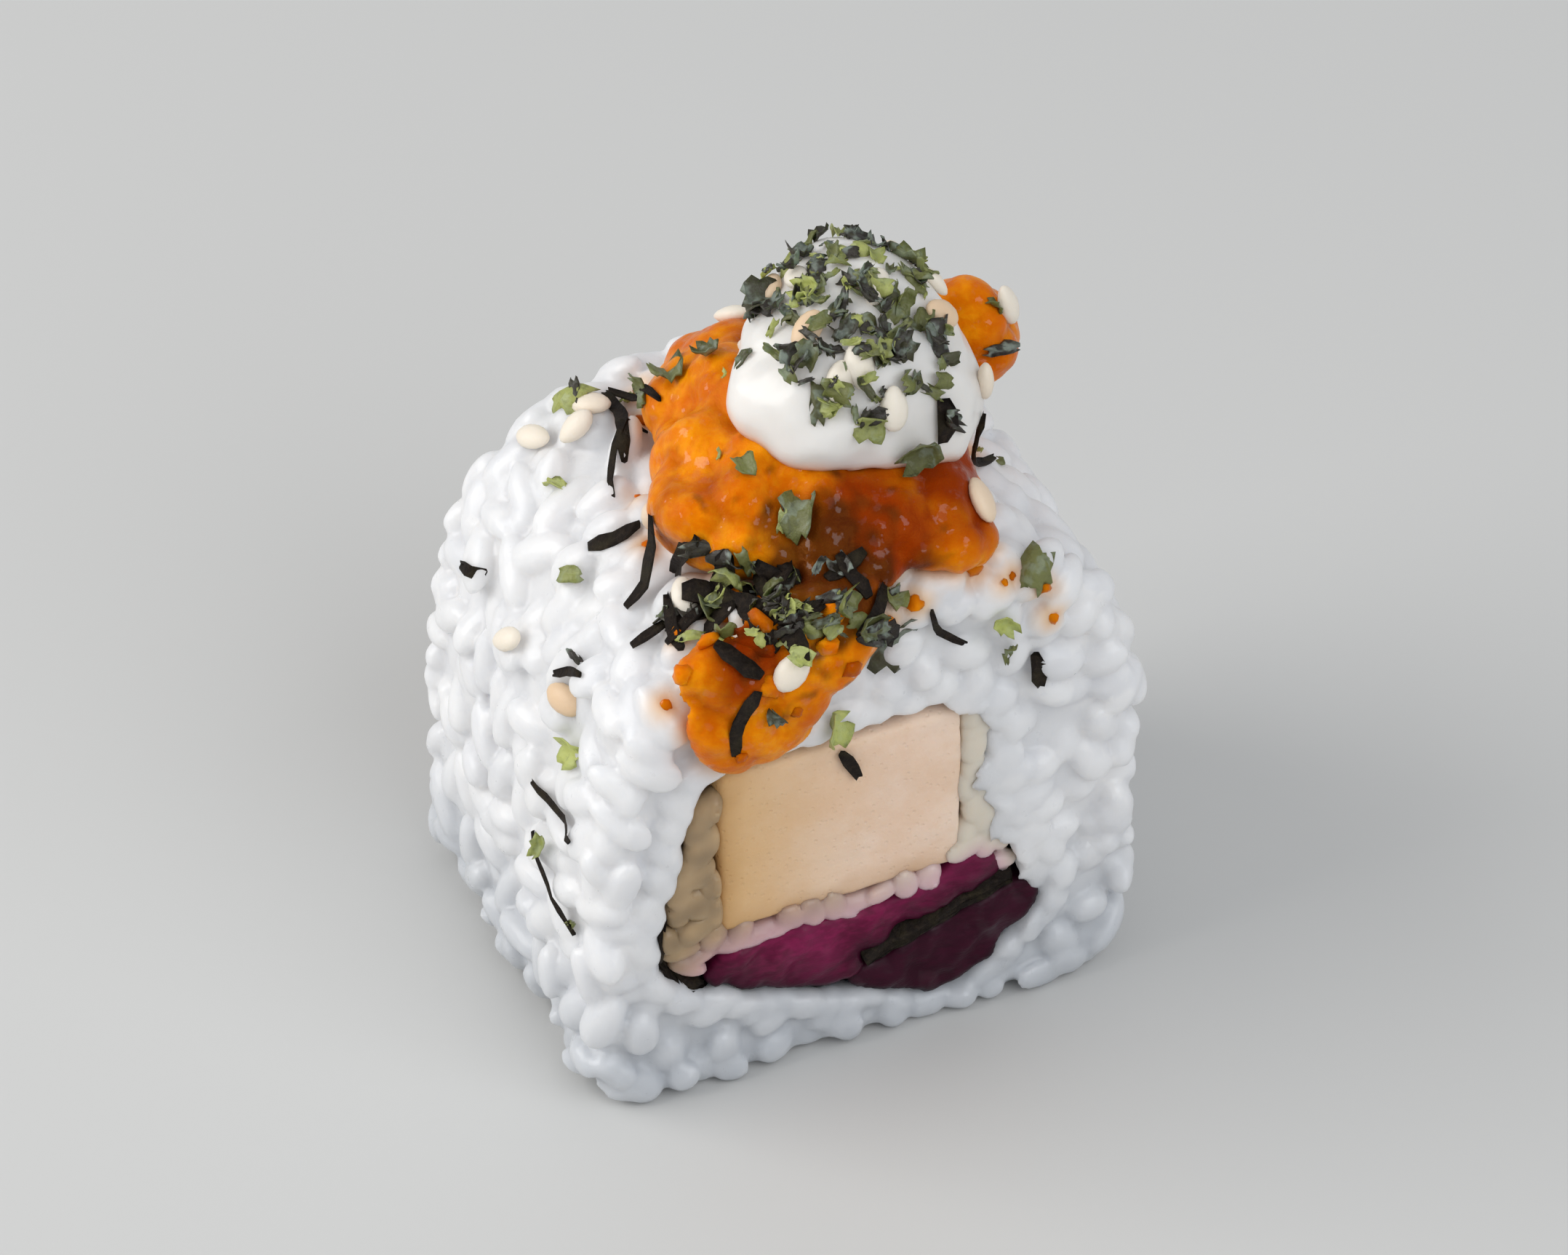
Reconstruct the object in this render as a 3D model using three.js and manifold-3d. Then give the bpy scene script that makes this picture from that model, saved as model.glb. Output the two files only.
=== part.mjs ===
// One piece of an inside-out vegetable roll: a block of tofu and two strips of purple pickle, wrapped in
// nori, inside a thick coat of rice, with a heap of orange squash mash and a dollop of cream on top.
//
// Millimetres, +Z up. The roll's axis runs along Y, and the cut face that shows best looks along -Y.
// The origin is the middle of the flat base that the piece stands on.

import * as THREE from "three";
import { mergeVertices } from "three/addons/utils/BufferGeometryUtils.js";
import Module from "manifold-3d";

const wasm = await Module();
wasm.setup();

// ---- Driving dimensions -------------------------------------------------------------------------

const ROLL_LEFT = 18.5; // from the middle out to each side, as the rice is thicker on one
const ROLL_RIGHT = 18.2;
const ROLL_HEIGHT = 35.5;
const ROLL_THICKNESS = 28;
const GRAIN_WIDTH = 3;
const GRAIN_LENGTH = 6;
const NORI_THICKNESS = 0.5;
const CLEARANCE = 0.3; // between two pieces that touch in the real roll

const FRONT = -ROLL_THICKNESS / 2;
const BACK = ROLL_THICKNESS / 2;

// The coat of rice. The belly is the height at which the section is widest.
const BELLY_HEIGHT = 0.42 * ROLL_HEIGHT;
const DOME_POWER = 2.9;
const FOOT_POWER = 8;
const FOOT_CUT = 0.9; // what standing on a plate takes off the round underside
const LEAN = 1.2; // how far the dome stands to the right of the foot
const EDGE_INSET = 1.3; // how far the rounded edge of a cut face stands in from the coat
const EDGE_LENGTH = 2.6;
const GRAIN_RELIEF = 1;
const RICE_POINTS_ROUND = 68;
const RICE_BODY_STEPS = 9;
const RICE_EDGE_STEPS = 2;
const FACE_RINGS = [0.45, 0.64, 0.83];

// The filling, in the plane of the cut: x to the right, z up.
const BLOCK = { left: -10.4, right: 5.6, bottom: 11.9, top: 24.3, rounding: 0.5 };
const FILLING_STEPS = 4;
const FILLING_TWIST = THREE.MathUtils.degToRad(3.5); // front to back, as the knife drags it
const FILLING_DRIFT = 0.5;
const FILLING_RECESS = 0.4;

// The heap on top is made of lobes that melt into one another over this distance, with lumps on it.
const MELT = 1;
const MASH_LUMP = 0.6;
const CREAM_LUMP = 0.15;
const LUMP_WIDTH = 3.4;

// ---- Numbers that repeat themselves each run ------------------------------------------------------

// A random number from 0 to 1 that belongs to one cell of a grid.
function cellRandom(i, j, k = 0) {
  const wave = Math.sin(i * 127.1 + j * 311.7 + k * 74.7) * 43758.5453;
  return wave - Math.floor(wave);
}

// The relief of grains pressed side by side: 0 between two grains and 1 on the back of one.
function grainRelief(across, along) {
  const u = across / GRAIN_WIDTH;
  const v = along / GRAIN_LENGTH;
  let nearest = 1;
  for (let i = Math.floor(u) - 1; i <= Math.floor(u) + 1; i++) {
    for (let j = Math.floor(v) - 1; j <= Math.floor(v) + 1; j++) {
      const du = u - i - cellRandom(i, j, 1);
      const dv = v - j - cellRandom(i, j, 2);
      nearest = Math.min(nearest, Math.hypot(du, dv));
    }
  }
  return 1 - nearest * nearest;
}

// Soft lumps of about one width, from -1 to 1.
function lumps(p, width) {
  const k = (2 * Math.PI) / (2 * width);
  return (
    (Math.sin(k * p.x + 1.3) * Math.cos(k * p.y + 0.7) +
      Math.sin(k * p.y * 1.3 + 2.1) * Math.cos(k * p.z * 1.2) +
      Math.sin(k * p.z * 0.9 + k * p.x * 0.6)) /
    3
  );
}

// ---- Solids ---------------------------------------------------------------------------------------

function solidOf(geometry) {
  const bare = geometry.clone();
  bare.deleteAttribute("normal");
  bare.deleteAttribute("uv");
  const merged = mergeVertices(bare, 1e-4);
  return new wasm.Manifold(
    new wasm.Mesh({
      numProp: 3,
      vertProperties: merged.attributes.position.array,
      triVerts: new Uint32Array(merged.index.array),
    }),
  );
}

function geometryOf(solid) {
  const mesh = solid.getMesh();
  const geometry = new THREE.BufferGeometry();
  geometry.setAttribute("position", new THREE.BufferAttribute(mesh.vertProperties, 3));
  geometry.setIndex(new THREE.BufferAttribute(mesh.triVerts, 1));
  geometry.computeVertexNormals();
  return geometry;
}

function joined(solids) {
  return solids.reduce((all, solid) => all.add(solid));
}

// ---- The coat of rice -------------------------------------------------------------------------------

// Evenly spaced points round the section: a dome over a boxier foot, cut flat at z = 0.
function riceSection() {
  const dense = 360;
  const power = (value, exponent) => Math.sign(value) * Math.abs(value) ** (2 / exponent);
  const points = Array.from({ length: dense + 1 }, (_, i) => {
    const angle = -Math.PI / 2 + (2 * Math.PI * i) / dense;
    const upper = Math.sin(angle) >= 0;
    const exponent = upper ? DOME_POWER : FOOT_POWER;
    const reach = upper ? ROLL_HEIGHT - BELLY_HEIGHT : BELLY_HEIGHT + FOOT_CUT;
    const side = Math.cos(angle) < 0 ? ROLL_LEFT : ROLL_RIGHT;
    const x = side * power(Math.cos(angle), exponent);
    const z = BELLY_HEIGHT + reach * power(Math.sin(angle), exponent);
    return new THREE.Vector2(x + LEAN * (z / ROLL_HEIGHT - 0.5), Math.max(0, z));
  });
  const outline = new THREE.Path(points);
  return outline.getSpacedPoints(RICE_POINTS_ROUND).slice(0, RICE_POINTS_ROUND);
}

// Where each ring of points stands: how far in from the section's outline, how much of the way out from
// the middle of the face, and how far along the roll.
function riceStations() {
  const edge = Array.from({ length: RICE_EDGE_STEPS }, (_, i) => {
    const angle = ((i / RICE_EDGE_STEPS) * Math.PI) / 2;
    return { inset: EDGE_INSET * (1 - Math.sin(angle)), share: 1, from: EDGE_LENGTH * (1 - Math.cos(angle)) };
  });
  const face = FACE_RINGS.map((share) => ({ inset: EDGE_INSET, share, from: 0 }));
  const front = [...face, ...edge].map((s) => ({ ...s, y: FRONT + s.from, out: -1 }));
  const back = [...face, ...edge].map((s) => ({ ...s, y: BACK - s.from, out: 1 })).reverse();
  const bodyLength = ROLL_THICKNESS - 2 * EDGE_LENGTH;
  const body = Array.from({ length: RICE_BODY_STEPS + 1 }, (_, i) => ({
    inset: 0,
    share: 1,
    y: FRONT + EDGE_LENGTH + (bodyLength * i) / RICE_BODY_STEPS,
    out: 0,
  }));
  return [...front, ...body, ...back];
}

// The coat with no hole in it. It can be grown all round, to cut what rests on it.
function riceBody(growth) {
  const middle = new THREE.Vector2(0, BELLY_HEIGHT);
  const section = riceSection();
  const stations = riceStations();
  const positions = [];
  const perimeterStep = section[0].distanceTo(section[1]);

  for (const station of stations) {
    section.forEach((outline, j) => {
      const standing = outline.y === 0;
      const spoke = outline.clone().sub(middle);
      const reach = spoke.length();
      const onFace = station.inset === EDGE_INSET;
      const relief = onFace
        ? grainRelief(spoke.x * station.share, spoke.y * station.share)
        : grainRelief(j * perimeterStep, station.y);
      const swell = onFace || standing ? 0 : GRAIN_RELIEF * (relief - 0.5);
      const length = (reach - station.inset + swell + growth) * station.share;
      const p = spoke.multiplyScalar(length / reach).add(middle);
      const y = station.y + station.out * (growth + (onFace ? GRAIN_RELIEF * (relief - 0.5) : 0));
      positions.push(p.x, y, standing && station.share === 1 ? -growth : Math.max(-growth, p.y));
    });
  }
  const firstMiddle = positions.length / 3;
  positions.push(middle.x, FRONT - growth, middle.y, middle.x, BACK + growth, middle.y);

  const index = [];
  const count = section.length;
  for (let k = 0; k + 1 < stations.length; k++) {
    for (let j = 0; j < count; j++) {
      const next = (j + 1) % count;
      const [a, b] = [k * count + j, k * count + next];
      const [c, d] = [a + count, b + count];
      index.push(a, c, b, b, c, d);
    }
  }
  const lastRing = (stations.length - 1) * count;
  for (let j = 0; j < count; j++) {
    const next = (j + 1) % count;
    index.push(firstMiddle, j, next);
    index.push(firstMiddle + 1, lastRing + next, lastRing + j);
  }
  const geometry = new THREE.BufferGeometry();
  geometry.setAttribute("position", new THREE.BufferAttribute(new Float32Array(positions), 3));
  geometry.setIndex(index);
  return solidOf(geometry);
}

// ---- The filling --------------------------------------------------------------------------------------

// A closed curve in the plane of the cut, through a few points.
function smoothLoop(points, tension = 0.5) {
  const corners = points.map(([x, z]) => new THREE.Vector3(x, z, 0));
  return new THREE.CatmullRomCurve3(corners, true, "catmullrom", tension);
}

// The curve's points, moved outwards by an offset.
function loopPoints(curve, offset, count) {
  return Array.from({ length: count }, (_, i) => {
    const t = i / count;
    const tangent = curve.getTangentAt(t);
    const p = curve.getPointAt(t);
    return new THREE.Vector2(p.x + tangent.y * offset, p.y - tangent.x * offset);
  });
}

// A section drawn in the plane of the cut, run along the roll, and turned a little from front to back as
// all of the filling is.
function alongRoll(shape, recess) {
  const length = ROLL_THICKNESS - 2 * recess;
  const geometry = new THREE.ExtrudeGeometry(shape, {
    depth: length,
    steps: FILLING_STEPS,
    curveSegments: 3,
    bevelEnabled: false,
  });
  geometry.rotateX(Math.PI / 2);
  geometry.translate(0, length / 2, 0);
  const middle = new THREE.Vector2(0, 14);
  const place = geometry.attributes.position;
  for (let i = 0; i < place.count; i++) {
    const share = place.getY(i) / ROLL_THICKNESS + 0.5;
    const p = new THREE.Vector2(place.getX(i), place.getZ(i)).rotateAround(middle, FILLING_TWIST * share);
    const drift = FILLING_DRIFT * Math.sin(Math.PI * share);
    place.setXYZ(i, p.x + drift, place.getY(i), p.y + drift / 2);
  }
  return solidOf(geometry);
}

// The line of the nori's middle where it goes round the filling, counter-clockwise from the lower right.
const noriLine = smoothLoop([
  [11.6, 8.2],
  [8.9, 13.8],
  [7.9, 19],
  [7.7, 23.4],
  [6.3, 25],
  [-2.5, 25.1],
  [-9.9, 25],
  [-11.6, 23.7],
  [-12.5, 20.5],
  [-13.4, 16],
  [-14.2, 11.2],
  [-12, 8.2],
  [-6, 5.4],
  [0, 3.4],
  [4, 1.7],
  [8, 3.4],
]);
const NORI_POINTS = 46;

// The nori's inner end, tucked between the two strips of pickle.
const noriTail = new THREE.CatmullRomCurve3([
  new THREE.Vector3(11.2, 9.6, 0),
  new THREE.Vector3(8, 9.3, 0),
  new THREE.Vector3(3.4, 7.6, 0),
  new THREE.Vector3(-0.6, 6.4, 0),
]);
const TAIL_POINTS = 6;

// The tail's section, which can be grown on both sides and past its tip.
function tailShape(growth) {
  const side = (offset) =>
    Array.from({ length: TAIL_POINTS + 1 }, (_, i) => {
      const t = i / TAIL_POINTS;
      const tangent = noriTail.getTangentAt(t);
      const p = noriTail.getPointAt(t).addScaledVector(tangent, t * growth);
      return new THREE.Vector2(p.x - tangent.y * offset, p.y + tangent.x * offset);
    });
  const halfWidth = NORI_THICKNESS / 2 + growth;
  return new THREE.Shape([...side(-halfWidth), ...side(halfWidth).reverse()]);
}

// All that the coat of rice goes round.
function cavity() {
  const shape = new THREE.Shape(loopPoints(noriLine, NORI_THICKNESS / 2 + CLEARANCE, NORI_POINTS));
  return alongRoll(shape, -4);
}

// What the nori wraps, out to its inner face less a gap.
function insideNori(recess) {
  const shape = new THREE.Shape(loopPoints(noriLine, -NORI_THICKNESS / 2 - CLEARANCE, NORI_POINTS));
  return alongRoll(shape, recess);
}

function noriWrap() {
  const half = NORI_THICKNESS / 2;
  const outer = new THREE.Shape(loopPoints(noriLine, half, NORI_POINTS));
  const inner = new THREE.Shape(loopPoints(noriLine, -half, NORI_POINTS));
  const sheet = alongRoll(outer, 0).subtract(alongRoll(inner, -4));
  return sheet.add(alongRoll(tailShape(0), 0).intersect(alongRoll(outer, -4)));
}

function blockShape(growth) {
  const { left, right, bottom, top, rounding } = BLOCK;
  const [x0, x1, z0, z1, r] = [left - growth, right + growth, bottom - growth, top + growth, rounding];
  const shape = new THREE.Shape();
  shape.moveTo(x0 + r, z0);
  shape.lineTo(x1 - r, z0);
  shape.quadraticCurveTo(x1, z0, x1, z0 + r);
  shape.lineTo(x1, z1 - r);
  shape.quadraticCurveTo(x1, z1, x1 - r, z1);
  shape.lineTo(x0 + r, z1);
  shape.quadraticCurveTo(x0, z1, x0, z1 - r);
  shape.lineTo(x0, z0 + r);
  shape.quadraticCurveTo(x0, z0, x0 + r, z0);
  return shape;
}

function tofuBlock() {
  return alongRoll(blockShape(0), FILLING_RECESS);
}

// The two strips of pickle: a long crescent under the block, and a thicker one below the nori's tail.
const upperPickleLine = smoothLoop([
  [-11.4, 8.6],
  [-7.5, 6.6],
  [-3.5, 5.2],
  [-1.3, 5.6],
  [0.4, 7.6],
  [4.2, 8.8],
  [8.3, 10.2],
  [7, 12.4],
  [6.4, 12.2],
  [3, 10.6],
  [-2, 10.1],
  [-7.5, 10.4],
]);
const lowerPickleLine = smoothLoop([
  [-1.5, 4.8],
  [3.2, 2.4],
  [7, 3],
  [11, 7.2],
  [10.3, 8.7],
  [6.5, 7.9],
  [2.5, 6.4],
]);
const PICKLE_POINTS = 28;

function pickle(line, growth, recess) {
  const shape = new THREE.Shape(loopPoints(line, growth, PICKLE_POINTS));
  const solid = alongRoll(shape, recess);
  return solid.intersect(insideNori(recess)).subtract(alongRoll(tailShape(CLEARANCE), -4));
}

// The stained grains that fill the nori round the block: a bed on its left and under it, and a strip on its
// right, which the upper pickle parts from the bed.
function innerRice() {
  const bed = new THREE.Shape([
    new THREE.Vector2(-16, 9.2),
    new THREE.Vector2(-7, 9.6),
    new THREE.Vector2(9, 9.6),
    new THREE.Vector2(9, 24.6),
    new THREE.Vector2(-16, 22.6),
  ]);
  const taken = joined([
    alongRoll(blockShape(CLEARANCE), -4),
    pickle(upperPickleLine, CLEARANCE, -4),
    pickle(lowerPickleLine, CLEARANCE, -4),
    alongRoll(tailShape(CLEARANCE), -4),
  ]);
  return bodiesOf(insideNori(FILLING_RECESS).intersect(alongRoll(bed, -4)).subtract(taken));
}

// A solid's separate bodies, the largest first.
function bodiesOf(solid) {
  return solid.decompose().sort((one, other) => other.volume() - one.volume());
}

// ---- The toppings --------------------------------------------------------------------------------------

// How far a point stands outside an ellipsoid, near enough.
function outside(p, { at, radius }) {
  const scaled = p.clone().sub(new THREE.Vector3(...at)).divide(new THREE.Vector3(...radius));
  return (scaled.length() - 1) * Math.min(...radius);
}

// The same for several ellipsoids melted into one.
function outsideMelted(p, lobes) {
  const sum = lobes.reduce((total, lobe) => total + Math.exp(-outside(p, lobe) / MELT), 0);
  return -MELT * Math.log(sum);
}

// How far the melted lobes reach from their middle in one direction.
function reachOf(lobes, middle, direction) {
  const at = (distance) => direction.clone().multiplyScalar(distance).add(middle);
  const step = 0.5;
  let inner = 22;
  while (inner > step && outsideMelted(at(inner), lobes) > 0) inner -= step;
  let outer = inner + step;
  for (let i = 0; i < 8; i++) {
    const half = (inner + outer) / 2;
    if (outsideMelted(at(half), lobes) > 0) outer = half;
    else inner = half;
  }
  return inner;
}

// A ball whose points are moved out to the surface of the melted lobes, and lumped a little.
function softBody({ middle, lobes, detail, lump }, growth = 0) {
  const geometry = new THREE.IcosahedronGeometry(1, detail);
  const place = geometry.attributes.position;
  const centre = new THREE.Vector3(...middle);
  for (let i = 0; i < place.count; i++) {
    const direction = new THREE.Vector3().fromBufferAttribute(place, i).normalize();
    const surface = direction.clone().multiplyScalar(reachOf(lobes, centre, direction)).add(centre);
    surface.addScaledVector(direction, growth + lump * lumps(surface, LUMP_WIDTH));
    place.setXYZ(i, surface.x, surface.y, surface.z);
  }
  return solidOf(geometry);
}

const TOP = ROLL_HEIGHT;
const HEAP = {
  middle: [1, -1, TOP - 0.5],
  detail: 8,
  lump: MASH_LUMP,
  lobes: [
    { at: [1.6, -1.4, TOP + 0.5], radius: [7.6, 9.4, 5.6] },
    { at: [-5.6, -4, TOP + 1.1], radius: [4.2, 4.6, 3.8] },
    { at: [-1.4, 3.6, TOP + 0.8], radius: [4, 4.6, 3.6] },
    { at: [4.8, -8.6, TOP - 0.6], radius: [4.2, 4.8, 3.8] },
    { at: [-1, -9.2, TOP - 0.4], radius: [4.6, 4, 3.4] },
    { at: [6.4, 4, TOP + 0.8], radius: [4.6, 5, 4] },
    { at: [9.2, 2.2, TOP + 2], radius: [3.6, 3.2, 2.8] },
    { at: [1, 6.8, TOP + 0.4], radius: [5, 3.6, 3.2] },
  ],
};
// The crumb of mash that sticks out of the heap on the right.
const KNOB = {
  middle: [12.2, 2, TOP + 3.8],
  detail: 3,
  lump: MASH_LUMP / 2,
  lobes: [
    { at: [13.2, 1.9, TOP + 4.2], radius: [2.7, 2.6, 2.5] },
    { at: [10.6, 2.2, TOP + 2.8], radius: [2.4, 2, 1.8] },
  ],
};
// The tongue that has run down over the top edge of the cut face.
const TONGUE = {
  middle: [-6.4, FRONT + 1, TOP - 3.6],
  detail: 5,
  lump: MASH_LUMP / 2,
  lobes: [
    { at: [-2.8, FRONT + 1.6, TOP - 1.7], radius: [3.8, 2.7, 3] },
    { at: [-6.6, FRONT + 0.8, TOP - 3.6], radius: [4, 1.6, 2.6] },
    { at: [-10.2, FRONT + 0.4, TOP - 5], radius: [2.2, 1.3, 2.6] },
    { at: [-9.6, FRONT, TOP - 7.4], radius: [1.4, 1.2, 1.7] },
    { at: [-6.4, FRONT, TOP - 6.2], radius: [1.6, 1.2, 1.8] },
  ],
};
// A dollop that has slumped into soft folds.
const DOLLOP = {
  middle: [3.2, -2.4, TOP + 6.8],
  detail: 6,
  lump: CREAM_LUMP,
  lobes: [
    { at: [3.2, -2.4, TOP + 7], radius: [6.6, 6.2, 5.2] },
    { at: [-0.8, -4.4, TOP + 6.6], radius: [3, 3.4, 3.2] },
    { at: [5.8, -5.4, TOP + 5.4], radius: [3.6, 3.6, 3.4] },
    { at: [4.6, 0.4, TOP + 9.4], radius: [4, 3.8, 3.4] },
  ],
};

function mash(growth) {
  return joined([HEAP, KNOB, TONGUE].map((body) => softBody(body, growth)));
}

function mashHeap() {
  return bodiesOf(mash(0).subtract(riceBody(CLEARANCE + 0.1)))[0];
}

function creamDollop() {
  return bodiesOf(softBody(DOLLOP).subtract(mash(CLEARANCE)))[0];
}

// ---- The roll --------------------------------------------------------------------------------------------

function finish(color, roughness) {
  return new THREE.MeshStandardMaterial({ color, roughness, metalness: 0 });
}

const WHITE_RICE = finish("#e6e8ea", 0.45);
const STAINED_RICE = finish("#cdbfae", 0.5);
const NORI_GREEN = finish("#171f19", 0.7);
const TOFU = finish("#dcb88a", 0.6);
const PURPLE_PICKLE = finish("#74204f", 0.35);
const ORANGE_MASH = finish("#d8760e", 0.35);
const CREAM_WHITE = finish("#f2efe8", 0.25);

function piece(name, solid, material) {
  const mesh = new THREE.Mesh(geometryOf(solid), material);
  mesh.name = name;
  return mesh;
}

const [bedRice, stripRice] = innerRice();
const roll = new THREE.Group();
roll.name = "vegetable_roll_piece";
roll.add(
  piece("rice_coat", riceBody(0).subtract(cavity()), WHITE_RICE),
  piece("nori_wrap", noriWrap(), NORI_GREEN),
  piece("tofu_block", tofuBlock(), TOFU),
  piece("inner_rice", bedRice, STAINED_RICE),
  piece("inner_rice_strip", stripRice, STAINED_RICE),
  piece("pickle_upper", pickle(upperPickleLine, 0, FILLING_RECESS), PURPLE_PICKLE),
  piece("pickle_lower", pickle(lowerPickleLine, 0, FILLING_RECESS), PURPLE_PICKLE),
  piece("mash_heap", mashHeap(), ORANGE_MASH),
  piece("cream_dollop", creamDollop(), CREAM_WHITE),
);

export default roll;
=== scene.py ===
"""One piece of a vegetable roll: rice grains round nori, tofu and purple pickle, under mash and cream.

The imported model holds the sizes. Everything here is in metres, in the model's own frame: Z up, the roll's
axis along Y, and the cut face that shows best looking along -Y. Sizes that are easier to read in
millimetres are written as a number times MM.
"""

import math
import random

import bmesh
import bpy
from bpy.props import FloatProperty, FloatVectorProperty, PointerProperty
from mathutils import Matrix, Vector, noise
from mathutils.bvhtree import BVHTree
from mathutils.kdtree import KDTree


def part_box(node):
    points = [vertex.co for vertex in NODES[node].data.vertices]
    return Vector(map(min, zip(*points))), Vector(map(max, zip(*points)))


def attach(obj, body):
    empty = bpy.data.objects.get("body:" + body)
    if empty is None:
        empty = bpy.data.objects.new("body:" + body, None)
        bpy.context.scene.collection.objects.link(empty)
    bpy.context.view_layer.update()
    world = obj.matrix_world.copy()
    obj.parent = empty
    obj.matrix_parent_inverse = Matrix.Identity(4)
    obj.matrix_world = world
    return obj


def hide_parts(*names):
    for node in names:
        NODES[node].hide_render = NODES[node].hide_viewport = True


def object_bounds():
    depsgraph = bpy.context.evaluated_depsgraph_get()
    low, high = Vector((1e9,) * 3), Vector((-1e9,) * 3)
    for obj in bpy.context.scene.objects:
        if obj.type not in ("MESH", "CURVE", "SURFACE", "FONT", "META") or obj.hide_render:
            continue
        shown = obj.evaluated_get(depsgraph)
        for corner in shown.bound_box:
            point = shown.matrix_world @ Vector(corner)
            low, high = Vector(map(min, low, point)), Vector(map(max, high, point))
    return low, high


bl_info = {
    "name": "Vegetable Roll Piece",
    "version": (1, 0, 0),
    "blender": (4, 5, 0),
    "location": "3D View > Sidebar > Roll",
    "description": "Dresses a plain solid model of a vegetable roll with rice grains, filling and toppings",
    "category": "Add Mesh",
}

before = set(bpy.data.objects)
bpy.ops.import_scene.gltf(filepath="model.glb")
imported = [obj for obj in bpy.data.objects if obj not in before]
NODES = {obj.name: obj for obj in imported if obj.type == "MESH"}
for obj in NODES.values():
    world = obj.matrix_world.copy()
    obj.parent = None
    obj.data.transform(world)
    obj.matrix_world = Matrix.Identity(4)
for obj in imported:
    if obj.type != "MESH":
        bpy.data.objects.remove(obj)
CAD_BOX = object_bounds()

MM = 0.001
UP = Vector((0, 0, 1))
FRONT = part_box("nori_wrap")[0].y
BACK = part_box("nori_wrap")[1].y
TOFU_LOW, TOFU_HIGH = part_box("tofu_block")
CREAM_LOW, CREAM_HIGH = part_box("cream_dollop")
FILLING_MIDDLE = Vector((-1 * MM, 0, 13 * MM))

# The camera looks from the left and above. In its view VIEW_RIGHT and VIEW_UP lie across, and VIEW_AWAY
# points from the roll to the eye.
VIEW_AZIMUTH = math.radians(-24)
VIEW_ELEVATION = math.radians(40)
VIEW_DISTANCE = 420 * MM
VIEW_LENS = 158
LOOKED_AT = Vector((0, 0, 22 * MM))
VIEW_RIGHT = Vector((math.cos(VIEW_AZIMUTH), math.sin(VIEW_AZIMUTH), 0))
VIEW_AWAY = UP.cross(VIEW_RIGHT) * -math.cos(VIEW_ELEVATION) + UP * math.sin(VIEW_ELEVATION)
VIEW_UP = VIEW_AWAY.cross(VIEW_RIGHT)
EYE = LOOKED_AT + VIEW_AWAY * VIEW_DISTANCE


# ---- Sizes and colours that a user would change ----


def length_property(name, description, millimetres):
    return FloatProperty(
        name=name, description=description, default=millimetres * MM, min=0, unit="LENGTH", precision=4
    )


def colour_property(name, description, *colour):
    return FloatVectorProperty(
        name=name, description=description, default=colour, min=0, max=1, size=3, subtype="COLOR"
    )


class RollSizes(bpy.types.PropertyGroup):
    """Usual sizes of what the roll is dressed with"""

    grain_length: length_property("Grain length", "Length of a cooked grain of rice", 4.5)
    grain_width: length_property("Grain width", "Width of a cooked grain of rice", 2.4)
    grain_height: length_property("Grain height", "Thickness of a cooked grain of rice", 2.05)
    grain_gap: length_property("Grain gap", "Least distance between the middle lines of two grains", 1.5)
    seed_length: length_property("Seed length", "Length of a sesame seed", 2.7)
    flake_size: length_property("Flake size", "Length of a usual flake of herb", 2.2)
    crumb_size: length_property("Crumb size", "Width of a usual crumb of mash", 0.9)
    shred_thickness: length_property("Shred thickness", "Thickness of a shred of nori", 0.14)


class RollColours(bpy.types.PropertyGroup):
    """The main colour of each finish"""

    rice: colour_property("Rice", "Cooked white rice", 0.82, 0.815, 0.815)
    stained_rice: colour_property("Stained rice", "Rice inside the nori", 0.43, 0.3, 0.165)
    nori: colour_property("Nori", "Seaweed sheet", 0.012, 0.008, 0.006)
    tofu: colour_property("Tofu", "Pale side of the tofu", 0.89, 0.69, 0.55)
    pickle: colour_property("Pickle", "Flesh of the purple pickle", 0.165, 0.008, 0.05)
    mash: colour_property("Mash", "Orange squash mash", 0.87, 0.3, 0.004)
    cream: colour_property("Cream", "White dollop", 0.83, 0.805, 0.77)
    sesame: colour_property("Sesame", "Ivory seeds", 0.86, 0.79, 0.68)
    herb: colour_property("Herb", "Green flakes", 0.15, 0.16, 0.045)


# ---- Shader maths ----


class Wire:
    """A number that varies over a surface. Python's arithmetic on it adds Math nodes."""

    def __init__(self, finish, socket):
        self.finish = finish
        self.socket = socket

    def maths(self, operation, first, second):
        return self.finish.node("ShaderNodeMath", {"operation": operation}, {0: first, 1: second})

    def __add__(self, other):
        return self.maths("ADD", self, other)

    __radd__ = __add__

    def __rsub__(self, other):
        return self.maths("SUBTRACT", other, self)

    def __mul__(self, other):
        return self.maths("MULTIPLY", self, other)

    __rmul__ = __mul__

    def between(self, low, high):
        """0 up to low and 1 from high, with a soft step between them."""
        settings = {"interpolation_type": "SMOOTHSTEP"}
        return self.finish.node("ShaderNodeMapRange", settings, {"Value": self, 1: low, 2: high})


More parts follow.
